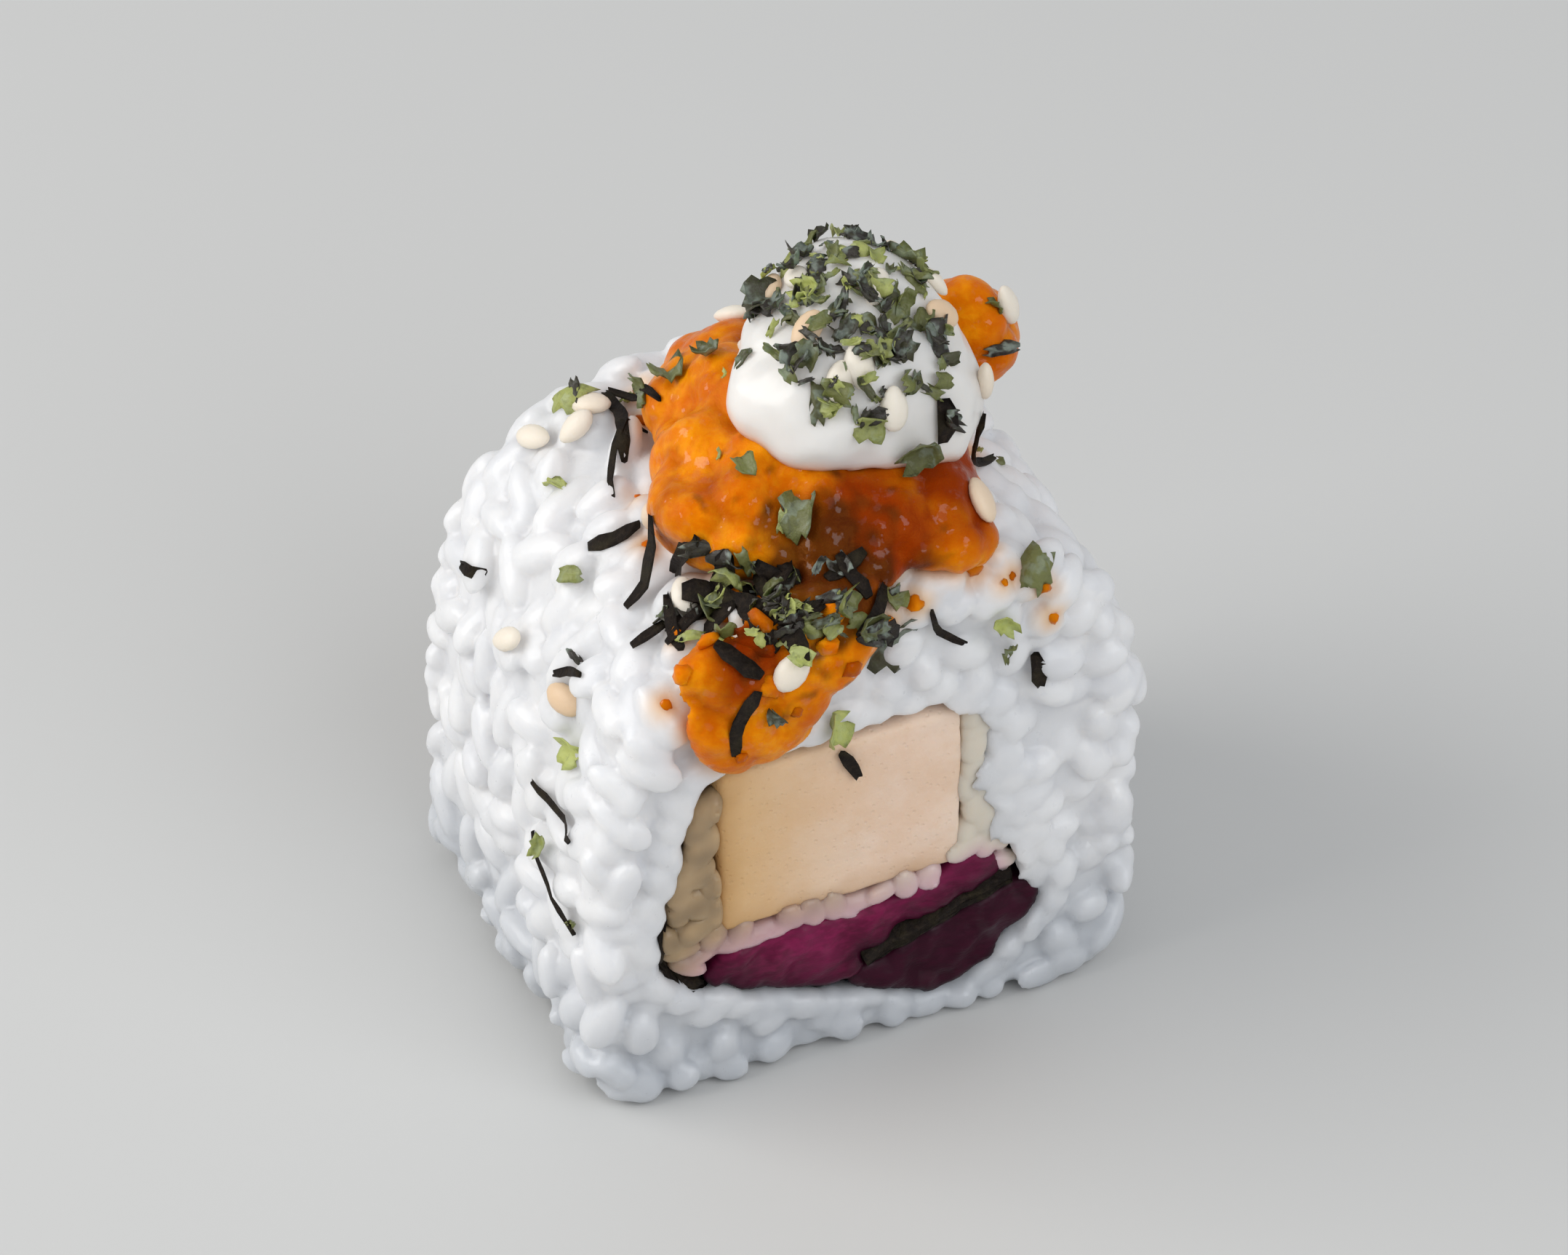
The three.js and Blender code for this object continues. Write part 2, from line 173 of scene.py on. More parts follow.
class Finish:
    """A material with one Principled shader. What is the same all over is set here, by socket name."""

    def __init__(self, name, constants):
        self.material = bpy.data.materials.new(name)
        self.material.use_nodes = True
        self.tree = self.material.node_tree
        self.shader = self.tree.nodes["Principled BSDF"]
        for socket, value in constants.items():
            self.shader.inputs[socket].default_value = value

    def node(self, kind, settings=None, sockets=None, output=0):
        """Adds one node: its settings first, then the values or links of its sockets."""
        added = self.tree.nodes.new(kind)
        for name, value in (settings or {}).items():
            setattr(added, name, value)
        for name, value in (sockets or {}).items():
            if isinstance(value, Wire):
                self.tree.links.new(value.socket, added.inputs[name])
            else:
                added.inputs[name].default_value = value
        return Wire(self, added.outputs[output])

    def place(self, stretch=(1, 1, 1)):
        """The object's own coordinates, in metres, stretched along its axes."""
        coordinates = self.node("ShaderNodeTexCoord", output="Object")
        return self.node("ShaderNodeMapping", None, {"Vector": coordinates, "Scale": stretch})

    def along(self, axis):
        """The distance along one of the object's axes, in metres."""
        return self.node("ShaderNodeSeparateXYZ", None, {"Vector": self.place()}, output=axis)

    def clouds(self, size, detail=3, roughness=0.55, stretch=(1, 1, 1)):
        """Soft noise from 0 to 1 with clouds of about one size in metres."""
        sockets = {"Vector": self.place(stretch), "Scale": 1 / size, "Detail": detail}
        return self.node("ShaderNodeTexNoise", None, {**sockets, "Roughness": roughness})

    def cells(self, size):
        """Distance from the nearest of many scattered points, 0 at each point."""
        return self.node("ShaderNodeTexVoronoi", None, {"Vector": self.place(), "Scale": 1 / size})

    def attribute(self, name):
        return self.node("ShaderNodeAttribute", {"attribute_name": name}, output="Fac")

    def mix(self, mask, below, above):
        """One colour where the mask is 0, another where it is 1."""
        return self.node("ShaderNodeMix", {"data_type": "RGBA"}, {0: mask, 6: below, 7: above}, output=2)

    def link(self, name, wire):
        self.tree.links.new(wire.socket, self.shader.inputs[name])

    def done(self, colour, roughness, height, distance, strength=1.0):
        """The material with its colour, roughness and a bump of height 0 to 1 times a distance in metres."""
        self.link("Base Color", colour)
        self.link("Roughness", roughness)
        sockets = {"Height": height, "Distance": distance, "Strength": strength}
        self.link("Normal", self.node("ShaderNodeBump", None, sockets))
        return self.material


def shade(colour, factor=1):
    """The same hue, lighter or darker, as red, green, blue and alpha."""
    return (*(min(1, channel * factor) for channel in colour), 1)


def soft(weight, depth, reach):
    """Light that sinks in: how much, how deep in millimetres, and how far its red, green and blue go."""
    return {"Subsurface Weight": weight, "Subsurface Scale": depth * MM, "Subsurface Radius": reach}


def rice_finish(colour):
    """White grains, a few of them glassier, stained orange where the mash lies on them, darker with painted
    shade towards the foot.
    """
    finish = Finish("white_rice", {**soft(0.75, 3.0, (1.0, 0.95, 0.9)), "Specular IOR Level": 0.5})
    starch = finish.clouds(2.6 * MM).between(0.3, 0.7)
    glassy = starch * 0.25 + 0.45 * finish.attribute("tone")
    # Darker and bluer towards the foot: partly damp rice, partly painted shade and a painted bluish
    # reflection.
    damp = finish.along("Z").between(14 * MM, 0) * 0.75
    base = finish.mix(glassy, shade(colour), (0.68, 0.69, 0.72, 1))
    base = finish.mix(damp, base, (0.42, 0.45, 0.49, 1))
    base = finish.mix(finish.attribute("mash_stain") * 0.7, base, (0.83, 0.44, 0.13, 1))
    roughness = 0.2 + 0.24 * finish.clouds(0.9 * MM)
    return finish.done(base, roughness, finish.clouds(0.8 * MM), 0.06 * MM, 0.6)


def stained_rice_finish(colour):
    """Grains that went glassy and beige beside the tofu, darker on the left partly with painted shade, and
    pink next to the pickle.
    """
    finish = Finish("stained_rice", {**soft(0.6, 1.4, (1.0, 0.8, 0.6)), "Specular IOR Level": 0.5})
    # Paler towards the right: the darker beige on the left-hand side is partly stain and partly painted
    # shade of the narrow strip there.
    pale = finish.along("X").between(TOFU_LOW.x + 4 * MM, TOFU_HIGH.x)
    base = finish.mix(finish.attribute("tone"), shade(colour, 0.5), shade(colour, 1.2))
    base = finish.mix(pale * 0.85, base, (0.75, 0.69, 0.59, 1))
    base = finish.mix(finish.attribute("pickle_stain"), base, (0.64, 0.4, 0.45, 1))
    roughness = 0.26 + 0.2 * finish.clouds(0.9 * MM)
    return finish.done(base, roughness, finish.clouds(0.7 * MM), 0.06 * MM, 0.6)


def nori_finish(name, colour):
    finish = Finish(name, {"Specular IOR Level": 0.15})
    speckle = finish.clouds(0.4 * MM, detail=5, roughness=0.7)
    olive = finish.clouds(1.5 * MM).between(0.48, 0.66)
    base = finish.mix(speckle.between(0.42, 0.7), shade(colour), (0.032, 0.022, 0.015, 1))
    base = finish.mix(olive * 0.25, base, (0.05, 0.042, 0.014, 1))
    return finish.done(base, 0.4 + 0.4 * speckle, speckle + 0.7 * finish.clouds(1.1 * MM), 0.18 * MM)


def tofu_finish(colour):
    finish = Finish("tofu", {**soft(0.25, 1.2, (1.0, 0.75, 0.5)), "Specular IOR Level": 0.3})
    pores = finish.cells(0.5 * MM).between(0.05, 0.3)
    curd = finish.clouds(5 * MM, detail=6, roughness=0.65).between(0.35, 0.65)
    amber = finish.along("X").between(TOFU_HIGH.x - 4 * MM, TOFU_LOW.x - 2 * MM)
    base = finish.mix(curd, shade(colour), (0.83, 0.6, 0.44, 1))
    base = finish.mix(amber * 0.95, base, (0.68, 0.41, 0.15, 1))
    base = finish.mix(finish.attribute("rim") * 0.65, base, (0.44, 0.22, 0.07, 1))
    pitted = pores * 0.6 + finish.clouds(0.6 * MM, detail=4)
    return finish.done(base, 0.5 + 0.2 * curd, pitted, 0.12 * MM, 0.5)


def pickle_finish(colour):
    finish = Finish("pickle", {"Specular IOR Level": 0.12, "Coat Roughness": 0.14})
    fibre = finish.clouds(0.8 * MM, detail=4, stretch=(1, 0.25, 2.2))
    patch = finish.clouds(3 * MM).between(0.4, 0.7)
    base = finish.mix(fibre.between(0.35, 0.7), shade(colour, 0.75), shade(colour, 1.25))
    base = finish.mix(patch * 0.35, base, (0.27, 0.025, 0.1, 1))
    # Near black: painted shade next to the nori, and the lower strip kept dark all over.
    base = finish.mix(finish.attribute("skin"), base, (0.01, 0.001, 0.005, 1))
    finish.link("Coat Weight", 0.2 * finish.clouds(1.6 * MM, detail=2).between(0.5, 0.65))
    return finish.done(base, 0.34 + 0.25 * fibre, fibre, 0.07 * MM)


def mash_finish(colour):
    """Orange pulp, red-brown with painted shade, almost black where it is burnt and in painted shade, with
    small wet glints.
    """
    gloss = {"Coat Roughness": 0.05, "Specular IOR Level": 0.25, "Specular Tint": (1, 0.35, 0.05, 1)}
    finish = Finish("mash", {**soft(0.25, 1.0, (1.0, 0.35, 0.05)), **gloss})
    pulp = finish.clouds(0.9 * MM, detail=4)
    chunk = finish.clouds(3.2 * MM).between(0.42, 0.62)
    base = finish.mix(pulp.between(0.3, 0.7), (0.76, 0.19, 0.001, 1), shade(colour))
    base = finish.mix(chunk * 0.6, base, (0.6, 0.105, 0.001, 1))
    # Red-brown: painted shade in the creases and under the cream, with darker patches at random.
    base = finish.mix(finish.attribute("hollow"), base, (0.27, 0.03, 0.001, 1))
    # Almost black: partly burnt mash, partly painted shade.
    base = finish.mix(finish.attribute("burnt"), base, (0.05, 0.012, 0.003, 1))
    finish.link("Coat Weight", 0.6 * finish.clouds(0.8 * MM, detail=2).between(0.6, 0.65))
    return finish.done(base, 0.22 + 0.2 * pulp, pulp, 0.14 * MM)


def cream_finish(colour):
    gloss = {"Coat Weight": 0.2, "Coat Roughness": 0.12}
    finish = Finish("cream", {**soft(0.45, 2.2, (1.0, 0.88, 0.75)), **gloss})
    base = finish.mix(finish.clouds(4 * MM).between(0.35, 0.7), shade(colour, 0.95), shade(colour))
    base = finish.mix(finish.attribute("mash_stain") * 0.75, base, (0.66, 0.3, 0.12, 1))
    roughness = 0.26 + 0.14 * finish.clouds(1.2 * MM)
    return finish.done(base, roughness, finish.clouds(1.6 * MM, detail=2), 0.1 * MM, 0.5)


def sesame_finish(colour):
    finish = Finish("sesame", {**soft(0.2, 0.8, (1.0, 0.85, 0.65)), "Specular IOR Level": 0.4})
    base = finish.mix(finish.attribute("tone"), shade(colour), (0.78, 0.56, 0.36, 1))
    roughness = 0.34 + 0.2 * finish.clouds(0.5 * MM)
    return finish.done(base, roughness, finish.clouds(0.35 * MM), 0.05 * MM, 0.6)


def herb_finish(colour):
    """Flakes from almost black, at tone 0, through green to a dry yellow-green, at tone 1."""
    finish = Finish("herb", {**soft(0.1, 0.4, (0.6, 1.0, 0.2)), "Specular IOR Level": 0.55})
    tone = finish.attribute("tone")
    veins = finish.clouds(0.45 * MM, detail=4)
    # Pale grey-green patches, most on the darkest flakes.
    dusty = finish.clouds(1.1 * MM, detail=2).between(0.5, 0.62)
    base = finish.mix(tone.between(0.1, 0.5), (0.026, 0.02, 0.014, 1), shade(colour))
    base = finish.mix(tone.between(0.55, 0.95), base, (0.46, 0.5, 0.14, 1))
    base = finish.mix(dusty * (0.5 - 0.4 * tone), base, (0.33, 0.4, 0.34, 1))
    base = finish.mix(veins.between(0.5, 0.75) * 0.45, base, (0.05, 0.055, 0.016, 1))
    return finish.done(base, 0.3 + 0.35 * veins, veins, 0.12 * MM)


# ---- Mesh helpers ----


def add_object(name, data):
    """Adds an object to the scene, at the origin."""
    obj = bpy.data.objects.new(name, data)
    bpy.context.scene.collection.objects.link(obj)
    return obj


def node_copy(name):
    """A node's shape as a bmesh with its shared corners merged."""
    bm = bmesh.new()
    bm.from_mesh(NODES[name].data)
    bmesh.ops.remove_doubles(bm, verts=bm.verts, dist=0.001 * MM)
    return bm


def modified(bm, kind, **settings):
    """The same shape after one modifier."""
    mesh = bpy.data.meshes.new("shape")
    bm.to_mesh(mesh)
    shape = add_object("shape", mesh)
    modifier = shape.modifiers.new("shape", kind)
    for name, value in settings.items():
        setattr(modifier, name, value)
    graph = bpy.context.evaluated_depsgraph_get()
    result = bpy.data.meshes.new_from_object(shape.evaluated_get(graph))
    bm.clear()
    bm.from_mesh(result)
    bpy.data.objects.remove(shape)
    bpy.data.meshes.remove(mesh)
    bpy.data.meshes.remove(result)
    return bm


def remeshed(bm, voxel):
    """The same solid again, with what overlaps made one, in even faces of one size."""
    return modified(bm, "REMESH", mode="VOXEL", voxel_size=voxel)


def thinned(bm, most):
    """The same shape with at most so many triangles, kept where it curves."""
    triangles = sum(len(face.verts) - 2 for face in bm.faces)
    return bm if triangles <= most else modified(bm, "DECIMATE", ratio=most / triangles)


def smooth(bm, rounds):
    for _ in range(rounds):
        bmesh.ops.smooth_vert(
            bm, verts=bm.verts, factor=0.5, use_axis_x=True, use_axis_y=True, use_axis_z=True
        )


def push(bm, distance):
    """Moves every vertex along its normal by a distance that may depend on where it is."""
    bm.normal_update()
    moves = [vert.normal * distance(vert.co) for vert in bm.verts]
    for vert, move in zip(bm.verts, moves):
        vert.co += move


def clamped(value, most=1.0):
    return max(0.0, min(most, value))


# Added to a place, this gives noise that has nothing to do with the noise there.
ELSEWHERE = Vector((0, 0, 1))


def ripple(place, size):
    """Smooth noise from -1 to 1."""
    return noise.noise(place / size)


def lump(place, size):
    """Rounded lumps: 1 on top of one and 0 in the creases between them."""
    nearest = noise.voronoi(place / size)[0][0]
    return 1 - min(1.0, nearest) ** 2


def surface_of(*objects):
    """All these objects as one surface to cast rays at."""
    joined = bmesh.new()
    for obj in objects:
        joined.from_mesh(obj.data)
    tree = BVHTree.FromBMesh(joined)
    joined.free()
    return tree


def named(*names):
    """Pieces that are already there."""
    return [bpy.data.objects[name] for name in names]


def mark(obj, name, value):
    """Stores a number from 0 to 1 at each vertex, for the materials."""
    layer = obj.data.attributes.new(name, "FLOAT", "POINT")
    layer.data.foreach_set("value", [value(vert) for vert in obj.data.vertices])


def mark_copies(obj, name, values):
    """Stores one number for each of the equal copies that a mesh was joined from."""
    each = len(obj.data.vertices) // len(values)
    mark(obj, name, lambda vert: values[vert.index // each])


def is_near(surface, place, reach):
    return surface.find_nearest(place, reach)[0] is not None


def nearness(surface, reach):
    """A function of a vertex that is 1 on a surface and falls to 0 at some reach from it."""

    def value(vert):
        hit = surface.find_nearest(vert.co, reach)
        return 0.0 if hit[0] is None else (1 - hit[3] / reach) ** 1.5

    return value


def piece(name, bm, material, stands_for=()):
    """Makes a bmesh a smooth-shaded piece of the roll, and frees it."""
    mesh = bpy.data.meshes.new(name)
    bm.to_mesh(mesh)
    bm.free()
    mesh.shade_smooth()
    mesh.materials.append(material)
    obj = add_object(name, mesh)
    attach(obj, "root")
    if stands_for:
        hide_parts(*stands_for)
    return obj


def egg(segments):
    """A sphere one unit across whose poles point along X."""
    bm = bmesh.new()
    bmesh.ops.create_uvsphere(bm, u_segments=segments, v_segments=8, radius=0.5)
    bmesh.ops.rotate(bm, verts=bm.verts, matrix=Matrix.Rotation(math.pi / 2, 3, "Y"))
    return bm


def as_mesh(bm):
    """A small shape that is kept to be copied many times."""
    mesh = bpy.data.meshes.new("shape")
    bm.to_mesh(mesh)
    bm.free()
    return mesh


def add_copy(bm, shape, matrix=Matrix.Identity(4)):
    """Adds a copy of a mesh to a larger one."""
    copy = shape.copy()
    copy.transform(matrix)
    bm.from_mesh(copy)
    bpy.data.meshes.remove(copy)


def lying(place, normal, heading):
    """A matrix that lays a shape's X and Y on a surface, its X turned by the heading."""
    level = Vector((1, 0, 0)) if abs(normal.z) > 0.9 else UP.cross(normal)
    across = (level - normal * level.dot(normal)).normalized()
    along = across * math.cos(heading) + normal.cross(across) * math.sin(heading)
    turned = Matrix((along, normal.cross(along), normal)).transposed()
    return Matrix.Translation(place) @ turned.to_4x4()


def tilted(rng, usual):
    """A random turn about a shape's own X and Y, of a usual angle in radians."""
    about_x = Matrix.Rotation(rng.gauss(0, usual), 4, "X")
    return about_x @ Matrix.Rotation(rng.gauss(0, usual), 4, "Y")


def sprinkled(bm, rng, per_square_mm, wanted=lambda place, normal: True):
    """Random points on a surface, with the normals there."""
    bmesh.ops.triangulate(bm, faces=bm.faces)
    faces = [f for f in bm.faces if wanted(f.calc_center_median(), f.normal)]
    areas = [f.calc_area() for f in faces]
    for face in rng.choices(faces, areas, k=round(per_square_mm * sum(areas) / MM**2)):
        first, second, third = (v.co for v in face.verts)
        root, share = math.sqrt(rng.random()), rng.random()
        place = first * (1 - root) + second * (root * (1 - share)) + third * (root * share)
        yield place, face.normal.copy()


class Crowd:
    """Points that keep apart. Each is kept by the cell of a grid that it is in, to find it again soon."""

    def __init__(self, apart):
        self.apart = apart
        self.cells = {}

    def cell(self, place):
        return tuple(math.floor(c / self.apart) for c in place)

    def has_room(self, place):
        i, j, k = self.cell(place)
        near = (
            other
            for x in (i - 1, i, i + 1)
            for y in (j - 1, j, j + 1)
            for z in (k - 1, k, k + 1)
            for other in self.cells.get((x, y, z), ())
        )
        return all((place - other).length > self.apart for other in near)

    def add(self, place):
        self.cells.setdefault(self.cell(place), []).append(place)


# ---- Places on the roll ----


def seen(surface, right, up):
    """The place that the camera sees so many millimetres right of and above the point it looks at."""
    aim = LOOKED_AT + (VIEW_RIGHT * right + VIEW_UP * up) * MM
    place = surface.ray_cast(EYE, (aim - EYE).normalized())[0]
    if place is None:
        raise ValueError(f"the camera sees nothing at {right}, {up}")
    return place


def fallen(surface, x, y):
    """The place that something dropped straight down reaches."""
    high = Vector((x, y, CAD_BOX[1].z + 10 * MM))
    return surface.ray_cast(high, -UP)[0]


def facing(surface, place, reach=1.2 * MM):
    """The mean normal round a place, as something flat that lies there would feel it."""
    near = surface.find_nearest_range(place, reach)
    return sum((normal for _, normal, _, _ in near), Vector()).normalized()


def strewn(surface, spots, shapes, rng, lift, tilt):
    """Copies of some shapes, joined: one flat on the surface, but for a tilt, at each (place, size)."""
    joined = bmesh.new()
    for place, size in spots:
        normal = facing(surface, place)
        turned = lying(place + normal * rng.uniform(*lift), normal, rng.uniform(0, 2 * math.pi))
        add_copy(joined, rng.choice(shapes), turned @ tilted(rng, tilt) @ Matrix.Scale(size, 4))
    return joined


# ---- Rice ----

GRAIN_SHAPES = 8
MOST_TRIANGLES = 190000

# The share of its height that a grain sinks into the coat, and its usual tilt. A few grains stand out.
LYING = (0.5, 0.2)
STANDING = (0.2, 0.35)
STANDING_SHARE = 0.04

# Places round the filling where grains cover the nori's edge, and the longest step from one to the next.
RING_PLACES = 42
LONGEST_STEP = 6 * MM

# How far below the coat's surface the inner layer of grains lies, and the core, which reaches further
# out at the foot. The core of a bed of stained grains lies less deep, and the bed swells to fill its room.
LAYER_DEPTH = 0.6 * MM
CORE_DEPTH = 1.0 * MM
FOOT_CORE_DEPTH = 0.62 * MM
FOOT_HEIGHT = 3 * MM
BED_CORE_DEPTH = 0.5 * MM
BED_SWELLS = 0.25 * MM

# What a knife and a hand leave of what stands out of the coat's surface, and what is left of a cut grain,
# of an upright one inside the nori and of one that lies under the tofu.
KNIFE_LEAVES = 0.25
HAND_LEAVES = 0.55
CUT_SHORT = Matrix.Diagonal((0.72, 1, 1, 1))
SLIM = Matrix.Diagonal((0.55, 0.6, 0.75, 1))
SQUASHED = Matrix.Diagonal((0.6, 0.36, 0.6, 1))


def grain_shape(rng):
    """A plump grain one unit long, wide and high, lying along X, a little bent and blunt at one end."""
    bm = egg(10)
    bend, taper, germ = rng.uniform(-0.1, 0.2), rng.uniform(0, 0.14), rng.uniform(0.0, 0.1)
    for vert in bm.verts:
        x = vert.co.x * 2
        girth = 1 - taper * x + 0.16 * x * x
        vert.co.y *= girth
        vert.co.z *= girth
        vert.co.z += bend * (0.3 - x * x) * 0.5
        if vert.co.x > 0.3 and vert.co.y > 0:
            vert.co.y -= germ
    return as_mesh(bm)


def grain_size(sizes, rng):
    """One grain's own length, width and height as a matrix."""
    length = sizes.grain_length * rng.uniform(0.8, 1.12)
    width = sizes.grain_width * rng.uniform(0.88, 1.1)
    height = sizes.grain_height * rng.uniform(0.9, 1.1)
    return Matrix.Diagonal((length, width, height, 1))


def is_cut(normal):
    """Whether this is the normal of a cut face."""
    return abs(normal.y) > 0.8


def press(bm, outline):
    """Flattens what stands out of an outline, most where the knife cut it."""
    for vert in bm.verts:
        place, normal, _, _ = outline.find_nearest(vert.co)
        proud = (vert.co - place).dot(normal)
        if proud > 0:
            left = KNIFE_LEAVES if is_cut(normal) else HAND_LEAVES
            vert.co -= normal * proud * (1 - left)


def raised(grain):
    """The same matrix of a grain, moved up if need be until the whole grain is above the foot."""
    half_height = Vector(grain[2][:3]).length / 2
    lift = max(0, half_height - grain.translation.z)
    return Matrix.Translation((0, 0, lift)) @ grain


def side_by_side(solid, length, gap, rng, wanted):
    """Grains that lie on a solid and hardly cross: the matrix of each, and the points that it keeps."""
    crowd = Crowd(gap)
    grains = []
    for place, normal in sprinkled(solid, rng, per_square_mm=4, wanted=wanted):
        if not crowd.has_room(place):
            continue
        for _ in range(4):
            turned = lying(place, normal, rng.uniform(0, math.pi))
            kept = [turned @ Vector((share * length, 0, 0)) for share in (-0.3, 0, 0.3)]
            if all(crowd.has_room(point) for point in kept):
                for point in kept:
                    crowd.add(point)
                grains.append((turned, kept))
                break
    return grains


def fused(grains, solid, core_voxel, core_depth, voxel, rounds):
    """Grains and a smaller core, so far below the surface of a solid, as one smooth shape."""
    core = remeshed(solid, core_voxel)
    push(core, lambda place: -core_depth(place))
    add_copy(grains, as_mesh(core))
    whole = remeshed(grains, voxel)
    smooth(whole, rounds)
    return whole


def bare(place):
    """Whether the rice leaves the edge of the nori open there: low on the left-hand side."""
    return place.x < TOFU_LOW.x and place.z < 15 * MM


def cavity_ring(coat, y):
    """Where the coat's inner wall is, seen from the middle of the filling, at one place along the roll."""
    middle = Vector((FILLING_MIDDLE.x, y, FILLING_MIDDLE.z))
    angles = [2 * math.pi * i / RING_PLACES for i in range(RING_PLACES)]
    return [coat.ray_cast(middle, Vector((math.cos(a), 0, math.sin(a))))[0] for a in angles]


def rows_over_nori(place):
    """Rows of grains that cover the nori's edge: how far outside that edge each may lie, in millimetres."""
    if bare(place):
        return [(0.5, 1.0)]
    if place.x > TOFU_HIGH.x and place.z > 10 * MM:
        return [(-2.0, -1.0), (-0.4, 0.5)]
    if place.x > TOFU_HIGH.x and place.z > 8.6 * MM:
        return [(-3.0, -2.4), (-1.8, -1.0), (-0.4, 0.5)]
    return [(-0.35, 0.4)]


def close_over_nori(grains, coat, shapes, sizes, rng):
    """Grains that lie along the edge of the filling on both cut faces."""
    for y, outward in ((FRONT, -1), (BACK, 1)):
        ring = cavity_ring(coat, y - outward * 1.2 * MM)
        for i, place in enumerate(ring):
            ahead = ring[(i + 1) % len(ring)] - place
            if ahead.length > LONGEST_STEP:
                continue
            away = (place - Vector((FILLING_MIDDLE.x, place.y, FILLING_MIDDLE.z))).normalized()
            for least, most in rows_over_nori(place):
                centre = place + away * rng.uniform(least, most) * MM
                centre.y = y - outward * rng.uniform(0.4, 0.9) * MM
                heading = math.atan2(ahead.z, ahead.x * -outward) + rng.gauss(0, 0.8)
                turned = lying(centre, Vector((0, outward, 0)), heading)
                grain = turned @ grain_size(sizes, rng) @ CUT_SHORT
                add_copy(grains, rng.choice(shapes), raised(grain))


class ROLL_OT_rice_coat(bpy.types.Operator):
    """Presses two layers of grains together round a smaller core, out to the coat's own outline"""

    bl_idname = "roll.rice_coat"
    bl_label = "Rice Coat"

    def execute(self, context):
        sizes = context.scene.roll_sizes
        rng = random.Random(11)
        solid = node_copy("rice_coat")
        coat = BVHTree.FromBMesh(solid)
        wrap = surface_of(NODES["nori_wrap"])
        shapes = [grain_shape(rng) for _ in range(GRAIN_SHAPES)]

        def outside(place, normal):
            """Whether grains may lie here, which isn't so on the inner wall next to the nori."""
            return abs(normal.y) >= 0.7 or not is_near(wrap, place, 1.2 * MM)

        def core_depth(place):
            return CORE_DEPTH if place.z > FOOT_HEIGHT else FOOT_CORE_DEPTH

        rice = bmesh.new()
        kept_by = []
        for depth in (LAYER_DEPTH, 0):
            for turned, kept in side_by_side(solid, sizes.grain_length, sizes.grain_gap, rng, outside):
                share_sunk, tilt = STANDING if rng.random() < STANDING_SHARE else LYING
                sunk = sizes.grain_height * share_sunk + depth + rng.uniform(-0.2, 0.2) * MM
                lowered = turned @ Matrix.Translation((0, 0, -sunk))
                grain = lowered @ tilted(rng, tilt) @ grain_size(sizes, rng)
                if is_cut(turned.col[2]):
                    grain @= CUT_SHORT
                add_copy(rice, rng.choice(shapes), raised(grain))
                kept_by.append(kept)
        close_over_nori(rice, coat, shapes, sizes, rng)
        press(rice, coat)
        rice = fused(rice, solid, 0.7 * MM, core_depth, voxel=0.22 * MM, rounds=2)
        rice = thinned(rice, MOST_TRIANGLES)
        for vert in rice.verts:
            vert.co.z = max(0, vert.co.z)
        material = rice_finish(context.scene.roll_colours.rice)
        grains = piece("rice_grains", rice, material, ["rice_coat"])

        tones = [rng.random() for _ in kept_by]
        nearest_grain = KDTree(3 * len(kept_by))
        for i, kept in enumerate(kept_by):
            for point in kept:
                nearest_grain.insert(point, i)
        nearest_grain.balance()
        mark(grains, "tone", lambda vert: tones[nearest_grain.find(vert.co)[1]])
        return {"FINISHED"}


class ROLL_OT_inner_rice(bpy.types.Operator):
    """Fills the room beside and under the tofu with stained grains"""

    bl_idname = "roll.inner_rice"
    bl_label = "Inner Rice"

    def execute(self, context):
        sizes = context.scene.roll_sizes
        rng = random.Random(12)
        material = stained_rice_finish(context.scene.roll_colours.stained_rice)
        pickles = surface_of(NODES["pickle_upper"], NODES["pickle_lower"])
        shapes = [grain_shape(rng) for _ in range(GRAIN_SHAPES)]
        for node, stain_reach in (("inner_rice", 3.4 * MM), ("inner_rice_strip", 1.6 * MM)):
            solid = node_copy(node)
            outline = BVHTree.FromBMesh(solid)
            grains = bmesh.new()
            crowd = Crowd(1.0 * MM)
            at_cut = sprinkled(solid, rng, per_square_mm=6, wanted=lambda place, normal: is_cut(normal))
            for place, normal in at_cut:
                if not crowd.has_room(place):
                    continue
                crowd.add(place)
                upright = place.z > TOFU_LOW.z
                heading = (math.pi / 2 if upright else 0.15) + rng.gauss(0, 0.45)
                turned = lying(place - normal * rng.uniform(0.2, 0.7) * MM, normal, heading)
                grain = turned @ tilted(rng, 0.25) @ grain_size(sizes, rng) @ (SLIM if upright else SQUASHED)
                add_copy(grains, rng.choice(shapes), grain)
            press(grains, outline)
            bed = fused(grains, solid, 0.4 * MM, lambda place: BED_CORE_DEPTH, voxel=0.2 * MM, rounds=1)
            push(bed, lambda place: BED_SWELLS)
            filled = piece(node + "_bed", bed, material, [node])
            mark(filled, "pickle_stain", nearness(pickles, stain_reach))
            mark(filled, "tone", lambda vert: 0.5 + 0.5 * ripple(vert.co, 1.3 * MM))
        return {"FINISHED"}


# ---- Filling ----

# How deep the nori's edges sink at a cut face and how far inside that starts, where its fold ends on the
# right, and how much the fold swells.
NORI_SINKS = 1.8 * MM
EDGE_REACH = 4 * MM
FOLD_END = TOFU_HIGH.x + 3 * MM
FOLD_SWELLS = 0.28 * MM


